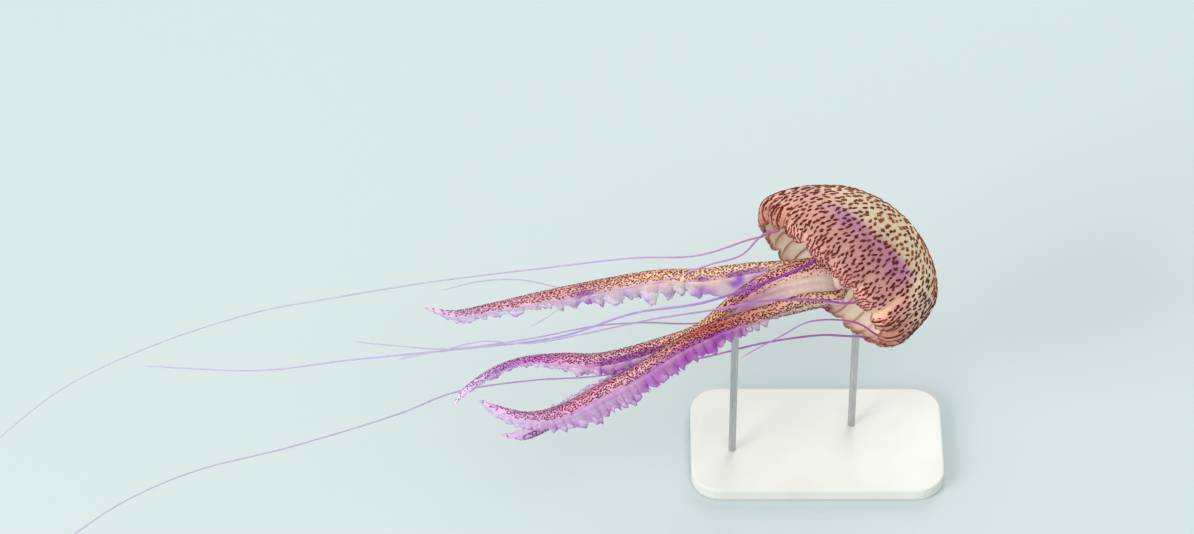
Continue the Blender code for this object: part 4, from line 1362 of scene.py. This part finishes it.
def lip_material():
    """Thin lilac membrane that lets some light and background through."""
    membrane = Finish("membrane")
    places = membrane.places()
    clear = membrane.mottled_paint(places, 500.0, 0.08)
    membrane.grain(membrane.noise(places, 1200.0), 0.36, 0.52, 0.00008, 0.5)
    membrane.put(membrane.shader, Alpha=clear, Subsurface_Weight=0.25, Subsurface_Radius=(1.0, 0.7, 0.9),
                 Subsurface_Scale=0.0015, Specular_IOR_Level=0.3)
    return membrane.material


def wart_material():
    """Brown-red stinging warts."""
    wart = Finish("wart")
    places = wart.places()
    wart.mottled_paint(places, 1500.0, 0.18)
    wart.grain(wart.noise(places, 2600.0), 0.38, 0.60, 0.00006, 0.6)
    wart.put(wart.shader, Specular_IOR_Level=0.12)
    return wart.material


def paint_material():
    """Pale satin paint with a faint orange peel."""
    paint = Finish("satin_paint")
    places = paint.places()
    paint.two_tones(paint.noise(places, 35.0), (204, 208, 204), (212, 216, 212))
    paint.grain(paint.noise(places, 1400.0, 2.0), 0.36, 0.46, 0.00004, 0.4)
    return paint.material


def steel_material():
    """Steel rod brushed along its length."""
    steel = Finish("brushed_steel")
    stretched = steel.add("Mapping", "Vector", Vector=steel.places(), Scale=(1.0, 1.0, 0.03))
    streaks = steel.noise(stretched, 5000.0, 4.0)
    steel.two_tones(streaks, (168, 170, 172), (206, 208, 210))
    steel.grain(streaks, 0.28, 0.44, 0.00002, 0.4)
    steel.put(steel.shader, Metallic=1.0)
    return steel.material


def dress(node, material):
    """Gives a kept CAD node its finish."""
    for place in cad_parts[node].material_slots:
        place.material = material


# ---- stage, light and camera ----

FLOOR_REACH = 6.0
LENS = 150.0
SENSOR = 36.0
FRAME_WIDTH = 0.4776             # metres across the picture at the swimming plane
FRAME_MIDDLE = (-0.0907, 0.0042, RIM_HEIGHT + 0.0042)


def make_stage():
    """A plain matt floor."""
    mesh = bpy.data.meshes.new("floor")
    reach = FLOOR_REACH
    mesh.from_pydata([(-reach, -reach, 0), (reach, -reach, 0), (reach, reach, 0), (-reach, reach, 0)],
                     [], [(0, 1, 2, 3)])
    floor = bpy.data.objects.new("floor", mesh)
    bpy.context.scene.collection.objects.link(floor)
    paint = Finish("floor_paint")
    paint.put(paint.shader, Base_Color=(*linear(185, 199, 201), 1.0), Roughness=0.9)
    mesh.materials.append(paint.material)


def add_light(name, place, target, size, power, colour):
    """A round soft light that looks at a target."""
    light = bpy.data.lights.new(name, "AREA")
    light.shape = "DISK"
    light.size = size
    light.energy = power
    light.color = colour
    lamp = bpy.data.objects.new(name, light)
    lamp.location = place
    lamp.rotation_euler = (Vector(target) - Vector(place)).to_track_quat("-Z", "Y").to_euler()
    bpy.context.scene.collection.objects.link(lamp)


def make_light():
    target = (-0.09, 0.0, 0.08)
    add_light("key", (0.3, -1.0, 1.7), target, 1.2, 8.0, (1.0, 0.98, 0.95))
    add_light("fill", (-1.9, -1.4, 1.25), target, 1.6, 48.0, (1.0, 0.97, 0.93))
    add_light("back", (0.4, 1.4, 1.1), target, 1.2, 10.0, (1.0, 0.98, 0.94))
    world = bpy.data.worlds.new("studio")
    world.use_nodes = True
    sky = world.node_tree.nodes["Background"]
    sky.inputs["Color"].default_value = (1.0, 0.985, 0.965, 1.0)
    sky.inputs["Strength"].default_value = 0.83
    bpy.context.scene.world = world
    bpy.context.scene.view_settings.view_transform = "Standard"


def make_camera():
    """Looks straight down on the tipped swimming plane, with the picture's framing."""
    camera = bpy.data.cameras.new("camera")
    camera.lens = LENS
    camera.sensor_width = SENSOR
    eye = bpy.data.objects.new("camera", camera)
    back = Vector((0.0, -sin(POSE_TILT), cos(POSE_TILT)))
    eye.location = Vector(FRAME_MIDDLE) + back * FRAME_WIDTH * LENS / SENSOR
    eye.rotation_euler = (POSE_TILT, 0.0, 0.0)
    bpy.context.scene.collection.objects.link(eye)
    bpy.context.scene.camera = eye


def flesh_nodes():
    """Every CAD node of the animal itself."""
    return [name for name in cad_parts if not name.startswith("stand_")]


def main():
    """Camera, light and floor, then the four covering pieces and the stand's finishes."""
    make_camera()
    make_light()
    make_stage()
    wart = wart_material()
    skin = make_skin(jelly_material())
    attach(skin, "root")
    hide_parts(*flesh_nodes())
    lips = make_lips(lip_material())
    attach(lips, "root")
    bell_warts = make_bell_warts(wart)
    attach(bell_warts, "root")
    arm_warts = make_arm_warts(wart)
    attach(arm_warts, "root")
    dress("stand_plate", paint_material())
    steel = steel_material()
    dress("stand_rod_bell", steel)
    dress("stand_rod_arms", steel)


main()
